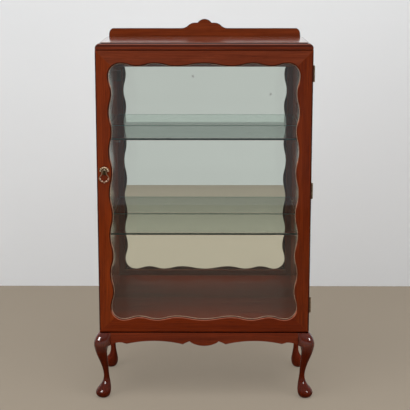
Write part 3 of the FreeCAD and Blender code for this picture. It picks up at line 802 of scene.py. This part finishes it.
# Painted light: the back of the door, seen in the mirror, is painted lighter.
DOOR_BACK_LIGHT = Tone(Zone(Facing.REAR, 0.6), display_colour(174, 76, 33))
DOOR_MAHOGANY = LacqueredWood("door_mahogany", light=display_colour(112, 42, 6),
                              dark=display_colour(94, 30, 2), worn=WORN_CASE, shine=0.13,
                              tones=(DOOR_BACK_LIGHT, DOOR_EDGE_SHADE, DOOR_LEDGE_HIGHLIGHT), polished=(Zone(Facing.CROWN),))
# The door's wood changes with height: the top rail is greyed by painted reflection, and the bottom rail is
# darker.
TOP_RAIL_MAHOGANY = replace(DOOR_MAHOGANY, name="top_rail_mahogany", light=display_colour(104, 44, 21),
                            dark=display_colour(90, 34, 13), polished=())
LOW_RAIL_MAHOGANY = replace(DOOR_MAHOGANY, name="low_rail_mahogany", light=display_colour(98, 31, 2),
                            dark=display_colour(82, 22, 1))
# The right stile takes a darker copy of the door wood: partly a darker board, partly painted shade of the
# light from the left.
RIGHT_STILE_MAHOGANY = replace(DOOR_MAHOGANY, name="right_stile_mahogany",
                               light=display_colour(102, 36, 3), dark=display_colour(80, 23, 1),
                               tones=(DOOR_BACK_LIGHT, OUTER_EDGE_SHADE, DOOR_LEDGE_HIGHLIGHT))
# Painted light and shade on the top board: painted reflection makes its level face pale, a painted
# highlight lightens the arris, the moulding's slope takes a dark painted reflection and the groove below
# the arris painted shade.
TOP_MAHOGANY = LacqueredWood("top_mahogany", light=display_colour(95, 40, 22),
                             dark=display_colour(77, 28, 12), worn=display_colour(140, 78, 44),
                             gloss=0.06, dull=0.12, shine=0.1,
                             tones=(Tone(Zone(Facing.LEVEL, 0.7, above=TOP_SKIN, rest_share=0.45),
                                         display_colour(150, 98, 80)),
                                    Tone(Zone(Facing.SLOPING, 0.9), EDGE_SHADE, dulled=True),
                                    Tone(Zone(Facing.FRONT, 0.8, above=TOP_ARRIS),
                                         display_colour(150, 112, 100)),
                                    Tone(Zone(share=0.95, above=TOP_GROOVE, below=TOP_ARRIS),
                                         EDGE_SHADE, dulled=True)),
                             polished=(Zone(Facing.LEVEL),), polish=0.12)
LEG_MAHOGANY = LacqueredWood("leg_mahogany", light=display_colour(86, 24, 4),
                             dark=display_colour(62, 15, 2), worn=WORN_BASE, gloss=0.04, dull=0.08,
                             shine=0.06, polish=0.06,
                             polished=(Zone(above=KNEE, soft=0.022), Zone(Facing.CROWN, 0.45)))
# Painted light: the rear legs, in the shade under the case, take a lighter, redder copy of the leg wood.
LIT_REAR_LEG_MAHOGANY = replace(LEG_MAHOGANY, name="lit_rear_leg_mahogany", light=display_colour(112, 40, 18),
                            dark=display_colour(88, 27, 10), polished=())
APRON_MAHOGANY = LacqueredWood("apron_mahogany", light=display_colour(98, 36, 14),
                               dark=display_colour(80, 25, 8), worn=WORN_BASE)
FLOOR_MAHOGANY = LacqueredWood("floor_mahogany", light=display_colour(117, 36, 7),
                               dark=display_colour(100, 29, 5), worn=display_colour(120, 70, 40),
                               gloss=0.01, dull=0.025, shine=0.035, relief=0.0)
PINE = BareWood("pine", light=display_colour(190, 150, 105), dark=display_colour(160, 118, 76))
PLYWOOD = BareWood("plywood", light=display_colour(168, 122, 84), dark=display_colour(140, 96, 62))
SHELF_GLASS = ClearGlass("shelf_glass", inside=(0.3, 0.72, 0.55), density=26.0, bending=1.28,
                         edge=(0.004, 0.07, 0.045))
DOOR_GLASS = ClearGlass("door_glass", inside=(0.82, 0.9, 0.86), density=6.0, bending=1.4)
PANE_SEAL = SealBead("pane_seal", colour=display_colour(196, 160, 132))
MIRROR = SilveredMirror("mirror_silver", tint=(0.73, 0.785, 0.73), fleck=(0.55, 0.57, 0.53))
PEG_BRASS = AgedMetal("peg_brass", bright=(0.85, 0.76, 0.58), dark=(0.4, 0.32, 0.2), patina=0.4,
                      roughness=0.12)
PETAL_BRASS = AgedMetal("aged_brass", bright=(0.95, 0.7, 0.48), dark=(0.4, 0.27, 0.15), patina=0.6,
                        roughness=0.2)
DROP_BRASS = AgedMetal("drop_brass", bright=(0.46, 0.31, 0.2), dark=(0.14, 0.09, 0.05), patina=0.6,
                       roughness=0.3)
DARK_BRASS = AgedMetal("dark_brass", bright=(0.14, 0.1, 0.05), dark=(0.03, 0.02, 0.01), patina=0.9,
                       roughness=0.4)
LEAF_BRASS = AgedMetal("leaf_brass", bright=(0.98, 0.72, 0.56), dark=(0.66, 0.44, 0.32), patina=0.5,
                       roughness=0.2)
HINGE_BRASS = AgedMetal("hinge_brass", bright=(0.42, 0.32, 0.22), dark=(0.12, 0.08, 0.05), patina=0.8,
                        roughness=0.34)
STEEL = AgedMetal("screw_steel", bright=(0.5, 0.49, 0.47), dark=(0.16, 0.15, 0.14), patina=0.6,
                  roughness=0.3)
# Painted shade: the screw slots are thin bars painted near black for the shade in them.
SLOT_SHADE = MouldedBody("slot_shade", colour=(0.02, 0.018, 0.015), roughness=0.6)
CATCH_BROWN = MouldedBody("catch_brown", colour=display_colour(92, 62, 40), roughness=0.3)
FERRITE = MouldedBody("ferrite", colour=(0.03, 0.03, 0.032), roughness=0.5)


def dress(nodes: Iterable[str], material: Material) -> None:
    """Give CAD nodes a material in all their slots.

    Args:
        nodes: Names of the nodes.
        material: The material.
    """
    for name in nodes:
        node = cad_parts[name]
        if not node.material_slots:
            node.data.materials.append(material)
        for slot in node.material_slots:
            slot.link = "OBJECT"
            slot.material = material
        log.info("dressed %s in %s", name, material.name)


def select_only(*pieces: Piece) -> None:
    """Select some objects and nothing else.

    Args:
        pieces: The objects, the first of which becomes active.
    """
    bpy.ops.object.select_all(action="DESELECT")
    for piece in pieces:
        piece.select_set(True)
    bpy.context.view_layer.objects.active = pieces[0]


def settle(*pieces: Piece) -> None:
    """Put the place, turn and scale of some objects into their meshes."""
    select_only(*pieces)
    bpy.ops.object.transform_apply(location=True, rotation=True, scale=True)


def finish_piece(piece: Piece, name: str, body: str, material: Material) -> Piece:
    """Name a new piece, put its place into its mesh, dress it and let it ride.

    Args:
        piece: The new object.
        name: Name of the piece.
        body: The body it moves with.
        material: Its material.

    Returns:
        The same object.
    """
    settle(piece)
    bpy.ops.object.shade_smooth_by_angle(angle=SMOOTH_ANGLE)
    piece.name = name
    piece.data.name = name
    piece.data.materials.clear()
    piece.data.materials.append(material)
    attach(piece, body)
    log.info("made %s, riding on %s", name, body)
    return piece


def open_edit(piece: Piece, action: str = "SELECT") -> None:
    """Open one object for editing.

    Args:
        piece: The object.
        action: SELECT to have all of it selected, DESELECT to have nothing.
    """
    select_only(piece)
    bpy.ops.object.mode_set(mode="EDIT")
    bpy.ops.mesh.select_all(action=action)


def pick_faces(piece: Piece, wanted: Callable[[bpy.types.MeshPolygon], bool]) -> None:
    """Select the faces that a test picks and go into edit mode.

    Args:
        piece: The object.
        wanted: Test of one face.
    """
    bpy.ops.object.mode_set(mode="OBJECT")
    for element in (*piece.data.vertices, *piece.data.edges):
        element.select = False
    for face in piece.data.polygons:
        face.select = wanted(face)
    bpy.ops.object.mode_set(mode="EDIT")
    bpy.ops.mesh.select_mode(type="FACE")


def pick_points(piece: Piece, wanted: Callable[[Vector], bool]) -> None:
    """Select the points that a test picks and go into edit mode.

    Args:
        piece: The object.
        wanted: Test of one point's place.
    """
    open_edit(piece, "DESELECT")
    bpy.ops.object.mode_set(mode="OBJECT")
    for vertex in piece.data.vertices:
        vertex.select = wanted(vertex.co)
    bpy.ops.object.mode_set(mode="EDIT")
    bpy.ops.mesh.select_mode(type="VERT")


def twin(piece: Piece) -> Piece:
    """Copy an object, with a mesh of its own.

    Args:
        piece: The object.

    Returns:
        The copy.
    """
    copied = piece.copy()
    copied.data = piece.data.copy()
    bpy.context.scene.collection.objects.link(copied)
    return copied


def copy_node(name: str) -> Piece:
    """Copy a CAD node as a loose object with a mesh of its own.

    Args:
        name: Name of the node.

    Returns:
        The copy.
    """
    piece = twin(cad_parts[name])
    piece.parent = None
    for key in list(piece.keys()):
        del piece[key]
    return piece


def join(pieces: list[Piece]) -> Piece:
    """Join objects into the first of them.

    Args:
        pieces: The objects.

    Returns:
        The joined object.
    """
    select_only(*pieces)
    bpy.ops.object.join()
    return pieces[0]


@dataclass
class Carcass:
    """The case: boards, top, gallery, mirror, backing and shelves."""

    upright: tuple[str, ...] = ("left_side_panel", "right_side_panel")
    level: tuple[str, ...] = ("front_top_rail", "back_top_rail")
    shelves: tuple[str, ...] = ("lower_shelf", "upper_shelf")

    def dress(self) -> None:
        """Give the case's pieces their finishes."""
        dress(self.upright, INSIDE_LIT_MAHOGANY.material(Grain.ALONG_Z))
        dress(self.level, MAHOGANY.material(Grain.ALONG_X))
        dress(("gallery",), GALLERY_MAHOGANY.material(Grain.ALONG_X))
        dress(("top_board",), TOP_MAHOGANY.material(Grain.ALONG_X))
        dress(("bottom_board",), FLOOR_MAHOGANY.material(Grain.ALONG_X))
        dress(("backing",), PLYWOOD.material(Grain.ALONG_Z))
        dress(("mirror",), MIRROR.material())
        dress(self.shelves, SHELF_GLASS.material())
        dress(("shelf_pegs",), PEG_BRASS.material())


@dataclass
class LegBase:
    """The base: cabriole legs, shaped aprons and the blocks behind them."""

    front_legs: tuple[str, ...] = ("front_left_leg", "front_right_leg")
    rear_legs: tuple[str, ...] = ("rear_left_leg", "rear_right_leg")

    def dress(self) -> None:
        """Give the base's pieces their finishes."""
        dress(self.front_legs, LEG_MAHOGANY.material(Grain.ALONG_Z))
        dress(self.rear_legs, LIT_REAR_LEG_MAHOGANY.material(Grain.ALONG_Z))
        dress(("front_apron", "rear_apron"), APRON_MAHOGANY.material(Grain.ALONG_X))
        dress(("left_apron", "right_apron"), APRON_MAHOGANY.material(Grain.ALONG_Y))
        dress(("corner_blocks",), PINE.material(Grain.ALONG_X))


@dataclass
class GlazedDoor:
    """The door: mitred frame, pane, beads and the seal round the pane."""

    frame_pieces: tuple[str, ...] = ("door_left_stile", "door_right_stile", "door_top_rail",
                                     "door_bottom_rail")
    upright_beads: tuple[str, ...] = ("glazing_bead_left", "glazing_bead_right")
    level_beads: tuple[str, ...] = ("glazing_bead_top", "glazing_bead_bottom")
    seal_width: float = 0.0012
    seal_depth: float = 0.0018
    seal_rounding: float = 0.4
    seal_steps: int = 2
    seal_corner: float = math.radians(50)
    seal_lean: float = 0.2
    merge: float = 0.00002

    def dress(self) -> None:
        """Give the door's pieces their finishes."""
        dress(("door_left_stile",), DOOR_MAHOGANY.material(Grain.ALONG_Z))
        dress(("door_right_stile",), RIGHT_STILE_MAHOGANY.material(Grain.ALONG_Z))
        dress(("door_top_rail",), TOP_RAIL_MAHOGANY.material(Grain.ALONG_X))
        dress(("door_bottom_rail",), LOW_RAIL_MAHOGANY.material(Grain.ALONG_X))
        dress(self.upright_beads, DOOR_MAHOGANY.material(Grain.ALONG_Z))
        dress(self.level_beads, DOOR_MAHOGANY.material(Grain.ALONG_X))
        dress(("door_glass",), DOOR_GLASS.material())

    def build(self) -> None:
        """Model the seal: a ribbon of the opening's own edge before the pane, given its thickness."""
        low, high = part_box("door_glass")
        seal = join([copy_node(name) for name in self.frame_pieces])
        open_edit(seal)
        bpy.ops.mesh.remove_doubles(threshold=self.merge)
        bpy.ops.mesh.select_all(action="SELECT")
        bpy.ops.mesh.bisect(plane_co=(0, PANE_FRONT - self.seal_depth, 0), plane_no=(0, 1, 0),
                            clear_inner=True)

        def outside_seal(face: bpy.types.MeshPolygon) -> bool:
            """Tell whether a face is no part of the opening's edge in front of the pane."""
            inside = low.x < face.center.x < high.x and low.z < face.center.z < high.z
            return not inside or face.center.y > PANE_FRONT or abs(face.normal.y) > self.seal_lean

        pick_faces(seal, outside_seal)
        bpy.ops.mesh.delete(type="FACE")
        bpy.ops.object.mode_set(mode="OBJECT")
        wall = seal.modifiers.new("thickness", "SOLIDIFY")
        wall.thickness = self.seal_width
        wall.offset = 1.0
        bpy.ops.object.modifier_apply(modifier=wall.name)
        rounding = seal.modifiers.new("rounding", "BEVEL")
        rounding.width = self.seal_width * self.seal_rounding
        rounding.segments = self.seal_steps
        rounding.angle_limit = self.seal_corner
        bpy.ops.object.modifier_apply(modifier=rounding.name)
        finish_piece(seal, "pane_seal", "door", PANE_SEAL.material())


@dataclass
class Fittings:
    """Hinges, catch and screws, with slots across the screw heads painted dark as painted shade."""

    slot_width: float = 0.0008
    slot_depth: float = 0.0005
    slot_proud: float = 0.00004
    slot_length: float = 1.8
    slot_arris: float = 0.15
    slot_turn: float = 0.4
    head_size: float = 0.008
    hinges: tuple[str, ...] = ("lower", "middle", "upper")

    def dress(self) -> None:
        """Give hinges, catch and screws their finishes."""
        leaves = [f"{place}_hinge_{side}_leaf" for place in self.hinges for side in ("case", "door")]
        dress(leaves + ["hinge_pins", "hinge_case_screws", "hinge_door_screws"], HINGE_BRASS.material())
        dress(("back_screws", "base_screws", "catch_screws", "catch_strike", "strike_screw", "handle_bolt"),
              STEEL.material())
        dress(("catch_housing",), CATCH_BROWN.material())
        dress(("catch_magnet",), FERRITE.material())

    def heads(self, node: str, outward: Vector) -> list[tuple[Vector, float]]:
        """Find the flat heads of the screws in a node.

        Args:
            node: Name of the node.
            outward: The way the heads face.

        Returns:
            Middle and radius of each head.
        """
        points = [vertex.co.copy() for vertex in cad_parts[node].data.vertices]
        level = max(point.dot(outward) for point in points)
        groups: list[list[Vector]] = []
        for point in points:
            if point.dot(outward) < level - self.slot_proud:
                continue
            near = [group for group in groups if (group[0] - point).length < self.head_size]
            if near:
                near[0].append(point)
            else:
                groups.append([point])
        found = []
        for group in groups:
            middle = sum(group, Vector()) / len(group)
            found.append((middle, max((point - middle).length for point in group)))
        return found

    def slot(self, radius: float) -> Piece:
        """Model one slot as a thin bar, painted dark as the slot's painted shade.

        Args:
            radius: Radius of the head that it is let into.

        Returns:
            The bar, about the origin.
        """
        bpy.ops.object.select_all(action="DESELECT")
        bpy.ops.mesh.primitive_cube_add(size=1.0)
        bar = bpy.context.active_object
        bar.scale = (radius * self.slot_length, self.slot_width, self.slot_depth)
        settle(bar)
        open_edit(bar)
        bpy.ops.mesh.bevel(offset=self.slot_width * self.slot_arris, segments=1, affect="EDGES")
        bpy.ops.object.mode_set(mode="OBJECT")
        bar.rotation_mode = "QUATERNION"
        return bar

    def build(self) -> None:
        """Model the slots of every set of screws that can be seen."""
        sets = (("back_screws", "case", Vector((0, 1, 0))),
                ("hinge_case_screws", "case", Vector((0, -1, 0))),
                ("hinge_door_screws", "door", Vector((0, 1, 0))),
                ("catch_screws", "case", Vector((1, 0, 0))),
                ("strike_screw", "door", Vector((0, 1, 0))))
        for node, body, outward in sets:
            heads = self.heads(node, outward)
            first = self.slot(heads[0][1])
            bars = [first] + [twin(first) for _ in heads[1:]]
            for index, (bar, (middle, _)) in enumerate(zip(bars, heads)):
                turn = Quaternion((0, 0, 1), self.slot_turn * index)
                bar.rotation_quaternion = outward.to_track_quat("Z", "X") @ turn
                bar.location = middle - outward * (self.slot_depth / 2 - self.slot_proud)
            settle(*bars)
            finish_piece(join(bars), f"{node}_slots", body, SLOT_SHADE.material())


@dataclass
class DropHandle:
    """The cast brass handle: a fan-shaped plate with petals, and a drop with a lobed leaf on its bow."""

    rim_width: float = 0.0013
    field_fall: float = 0.0005
    merge: float = 0.000002
    flat_angle: float = math.radians(0.5)
    front_depth: float = 0.0001
    front_lean: float = -0.9
    bulb_segments: int = 16
    bulb_rings: int = 10
    bulb_waists: tuple[float, ...] = (0.1, -0.45)
    bulb_draw: float = 0.78
    petal_count: int = 7
    petal_spread: float = math.radians(162)
    petal_length: float = 0.0066
    petal_half_width: float = 0.0022
    petal_half_depth: float = 0.0012
    petal_foot: float = 0.009
    arch_radius: float = 0.0056
    arch_thickness: float = 0.0008
    arch_segments: int = 40
    arch_sides: int = 10
    lobe_rise: float = 0.0012
    lobe_places: tuple[tuple[float, float], ...] = ((0.0, 0.0), (0.4, 0.19), (0.76, 0.62))
    lobe_half_sizes: tuple[Triple, ...] = ((0.0036, 0.0015, 0.0027), (0.0032, 0.0014, 0.0024),
                                           (0.0028, 0.0013, 0.0021))
    lobe_leans: tuple[float, ...] = (0.0, math.radians(24), math.radians(50))

    def plate(self) -> Piece:
        """Model the plate from the CAD plate's own outline, with a raised rim round a sunk field.

        Returns:
            The plate.
        """
        low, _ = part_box("handle_backplate")
        piece = copy_node("handle_backplate")
        open_edit(piece)
        bpy.ops.mesh.remove_doubles(threshold=self.merge)
        bpy.ops.mesh.dissolve_limited(angle_limit=self.flat_angle)
        front = low.y + self.front_depth
        pick_faces(piece, lambda face: face.normal.y < self.front_lean and face.center.y < front)
        bpy.ops.mesh.inset(thickness=self.rim_width, depth=0.0)
        bpy.ops.transform.translate(value=(0, self.field_fall, 0))
        bpy.ops.object.mode_set(mode="OBJECT")
        return piece

    def bulb(self, half_sizes: Triple) -> Piece:
        """Model one raised bulb of the casting, broad above and drawn in below.

        Args:
            half_sizes: Half its width, depth and height.

        Returns:
            The bulb, about the origin.
        """
        bpy.ops.object.select_all(action="DESELECT")
        bpy.ops.mesh.primitive_uv_sphere_add(segments=self.bulb_segments, ring_count=self.bulb_rings,
                                             radius=1.0)
        bulb = bpy.context.active_object
        bulb.scale = half_sizes
        settle(bulb)
        for share in self.bulb_waists:
            pick_points(bulb, lambda point: point.z < share * half_sizes[2])
            bpy.ops.transform.resize(value=(self.bulb_draw, 1.0, 1.0), center_override=(0, 0, 0))
            bpy.ops.object.mode_set(mode="OBJECT")
        return bulb

    def petals(self, centre: Vector) -> list[Piece]:
        """Model one petal of the fan, and lean copies of it into their places.

        Args:
            centre: Where the petals point to.

        Returns:
            The petals.
        """
        first = self.bulb((self.petal_half_width, self.petal_half_depth, self.petal_length / 2))
        first.location = (0, 0, self.petal_length / 2 + self.petal_foot)
        settle(first)
        petals = [first] + [twin(first) for _ in range(self.petal_count - 1)]
        step = self.petal_spread / (self.petal_count - 1)
        for index, petal in enumerate(petals):
            petal.rotation_euler = (0, index * step - self.petal_spread / 2, 0)
            petal.location = centre
        settle(*petals)
        return petals

    def arch(self, centre: Vector) -> Piece:
        """Model the raised arch over the post.

        Args:
            centre: Middle of the arch's circle.

        Returns:
            The arch.
        """
        bpy.ops.object.select_all(action="DESELECT")
        bpy.ops.mesh.primitive_torus_add(major_radius=self.arch_radius, minor_radius=self.arch_thickness,
                                         major_segments=self.arch_segments,
                                         minor_segments=self.arch_sides,
                                         rotation=(math.pi / 2, 0, 0))
        arch = bpy.context.active_object
        settle(arch)
        open_edit(arch)
        bpy.ops.mesh.bisect(plane_co=(0, 0, 0), plane_no=(0, 0, 1), clear_inner=True, use_fill=True)
        bpy.ops.object.mode_set(mode="OBJECT")
        arch.location = centre
        settle(arch)
        return arch

    def leaf(self) -> Piece:
        """Model the leaf along the drop's bow: a middle lobe and two smaller ones on each side.

        Returns:
            The leaf.
        """
        low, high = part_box("handle_bail")
        half = (high.x - low.x) / 2
        foot = Vector(((low.x + high.x) / 2, (low.y + high.y) / 2, low.z + self.lobe_rise))
        lobes = []
        for (across, rise), sizes, lean in zip(self.lobe_places, self.lobe_half_sizes, self.lobe_leans):
            first = self.bulb(sizes)
            sides = ((-1, first), (1, twin(first))) if across else ((1, first),)
            for side, lobe in sides:
                lobe.rotation_euler = (0, -side * lean, 0)
                lobe.location = foot + Vector((side * across * half, 0, rise * half))
                lobes.append(lobe)
        settle(*lobes)
        return join(lobes)

    def build(self) -> None:
        """Model and dress the whole handle."""
        dress(("handle_post",), DARK_BRASS.material())
        dress(("handle_bail",), DROP_BRASS.material())
        low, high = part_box("handle_post")
        front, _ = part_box("handle_backplate")
        centre = Vector(((low.x + high.x) / 2, front.y + self.field_fall, (low.z + high.z) / 2))
        raised = [*self.petals(centre), self.arch(centre)]
        plate = finish_piece(self.plate(), "handle_fan", "door", DARK_BRASS.material())
        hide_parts("handle_backplate")
        finish_piece(join(raised), "handle_petals", "door", PETAL_BRASS.material())
        finish_piece(self.leaf(), "drop_leaf", "bail", LEAF_BRASS.material())


@dataclass(frozen=True)
class SoftBox:
    """A soft lamp. A broad one lights the room, one with lit pieces only sets highlights on those."""

    name: str
    place: Triple
    size: tuple[float, float]
    power: float
    lit_pieces: tuple[str, ...] = ()
    target: Triple = (0.0, 0.0, 0.6)

    def hang(self) -> None:
        """Hang the lamp and turn it to its target."""
        data = bpy.data.lights.new(self.name, "AREA")
        data.shape = "RECTANGLE"
        data.size, data.size_y = self.size
        data.energy = self.power
        lamp = bpy.data.objects.new(self.name, data)
        lamp.location = self.place
        lamp.visible_glossy = bool(self.lit_pieces)
        lamp.visible_transmission = False
        lamp.visible_diffuse = not self.lit_pieces
        if self.lit_pieces:
            lit = bpy.data.collections.new(self.name)
            for piece in self.lit_pieces:
                lit.objects.link(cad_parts.get(piece) or bpy.data.objects[piece])
            lamp.light_linking.receiver_collection = lit
        lamp.rotation_mode = "QUATERNION"
        lamp.rotation_quaternion = (Vector(self.target) - Vector(self.place)).to_track_quat("-Z", "Y")
        bpy.context.scene.collection.objects.link(lamp)


@dataclass
class Studio:
    """The room: floor, rear wall, what the mirror shows in front, and soft lamps."""

    reach: float = 9.0
    wall_y: float = 1.239
    wall_height: float = 5.0
    screen_y: float = -3.363
    screen_height: float = 0.8
    far_y: float = -8.2
    dado_height: float = 1.95
    # Painted light: the floor glows in part and has a painted pool of light; the screen, dado and dusk glow
    # fully and show only in reflections, as painted reflections of the room in front.
    floor: StagePaint = StagePaint("room_floor", display_colour(155, 144, 129),
                                   pool=display_colour(189, 176, 158), glow=0.55,
                                   seen_from_behind=True)
    wall: StagePaint = StagePaint("room_wall", display_colour(233, 236, 239))
    screen: StagePaint = StagePaint("room_screen", display_colour(207, 208, 207), glow=1.0,
                                    reflected_only=True)
    dado: StagePaint = replace(screen, name="room_dado", colour=display_colour(200, 202, 200))
    dusk: StagePaint = replace(screen, name="room_dusk", colour=display_colour(114, 113, 111))
    air_light: float = 0.42
    lamps: tuple[SoftBox, ...] = (
        SoftBox("ceiling", (0.0, -2.2, 3.5), (5.0, 4.0), 150.0, target=(0.0, -1.6, 0.0)),
        SoftBox("left_panel", (-2.6, -2.9, 1.5), (2.0, 2.2), 48.0),
        SoftBox("right_panel", (2.7, -2.8, 1.5), (1.8, 2.0), 26.0),
        SoftBox("left_box", (-2.3, -3.1, 2.75), (1.7, 1.7), 200.0, ("front_left_leg",)),
        SoftBox("handle_box", (-1.3, -3.0, 2.1), (1.3, 1.3), 85.0, ("handle_petals", "drop_leaf")),
        SoftBox("right_box", (2.5, -2.9, 2.6), (1.2, 1.3), 80.0, ("front_right_leg",)))

    def sheet(self, name: str, low: Vector, high: Vector, turn: float, paint: StagePaint) -> None:
        """Add one flat surface of the room.

        Args:
            name: Name of the surface.
            low: Lower corner.
            high: Upper corner.
            turn: Turn about x that faces it into the room.
            paint: Its paint.
        """
        bpy.ops.object.select_all(action="DESELECT")
        bpy.ops.mesh.primitive_plane_add(size=1.0, rotation=(turn, 0, 0), location=(low + high) / 2)
        sheet = bpy.context.active_object
        size = high - low
        sheet.scale = (size.x, max(size.y, size.z), 1.0)
        settle(sheet)
        sheet.name = name
        sheet.data.materials.append(paint.material())

    def build(self) -> None:
        """Put up the room and its light."""
        reach = self.reach
        self.sheet("floor", Vector((-reach, -reach, 0)), Vector((reach, reach, 0)), 0.0, self.floor)
        upright = math.pi / 2
        walls = (
            ("rear_wall", reach, self.wall_y, 0.0, self.wall_height, upright, self.wall),
            ("front_screen", reach / 2, self.screen_y, 0.0, self.screen_height, -upright, self.screen),
            ("far_wall", reach, self.far_y, 0.0, self.dado_height, -upright, self.dado),
            ("far_wall_top", reach, self.far_y, self.dado_height, self.wall_height, -upright, self.dusk))
        for name, half, depth, foot, head, turn, paint in walls:
            self.sheet(name, Vector((-half, depth, foot)), Vector((half, depth, head)), turn, paint)
        world = bpy.data.worlds.new("room_light")
        world.use_nodes = True
        graph = Graph(world.node_tree)
        glow = graph.node("Background", {"Color": (1.0, 1.0, 1.0), "Strength": self.air_light})
        backdrop = graph.node("Background", {"Color": self.wall.colour, "Strength": 1.0})
        seen = graph.node("LightPath").outputs["Is Camera Ray"]
        sky = graph.node("MixShader", {0: seen, 1: glow.outputs[0], 2: backdrop.outputs[0]})
        graph.node("OutputWorld", {"Surface": sky.outputs[0]})
        bpy.context.scene.world = world
        for lamp in self.lamps:
            lamp.hang()


@dataclass
class PhotoCamera:
    """The camera at the photograph's place, a little right of the middle and tipped down."""

    offset: float = 0.02
    distance: float = 3.97932
    height: float = 1.41912
    tip: float = math.radians(11.397)
    turn: float = math.radians(0.258)
    focal_pixels: float = 1213.841
    image_pixels: int = 410
    sensor: float = 36.0

    def build(self) -> None:
        """Set up the camera and make it the scene's own."""
        data = bpy.data.cameras.new("photo_camera")
        data.sensor_width = self.sensor
        data.lens = self.focal_pixels / self.image_pixels * self.sensor
        camera = bpy.data.objects.new("photo_camera", data)
        camera.location = (self.offset, -self.distance, self.height)
        camera.rotation_euler = (math.pi / 2 - self.tip, 0, self.turn)
        bpy.context.scene.collection.objects.link(camera)
        bpy.context.scene.camera = camera


def main() -> None:
    """Build and dress the cabinet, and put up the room."""
    logging.basicConfig(level=logging.INFO, format="%(name)s: %(message)s")
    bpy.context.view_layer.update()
    bpy.context.scene.view_settings.view_transform = "Standard"
    PhotoCamera().build()
    Carcass().dress()
    LegBase().dress()
    door = GlazedDoor()
    door.dress()
    door.build()
    fittings = Fittings()
    fittings.dress()
    fittings.build()
    DropHandle().build()
    Studio().build()


if __name__ == "__main__":
    main()
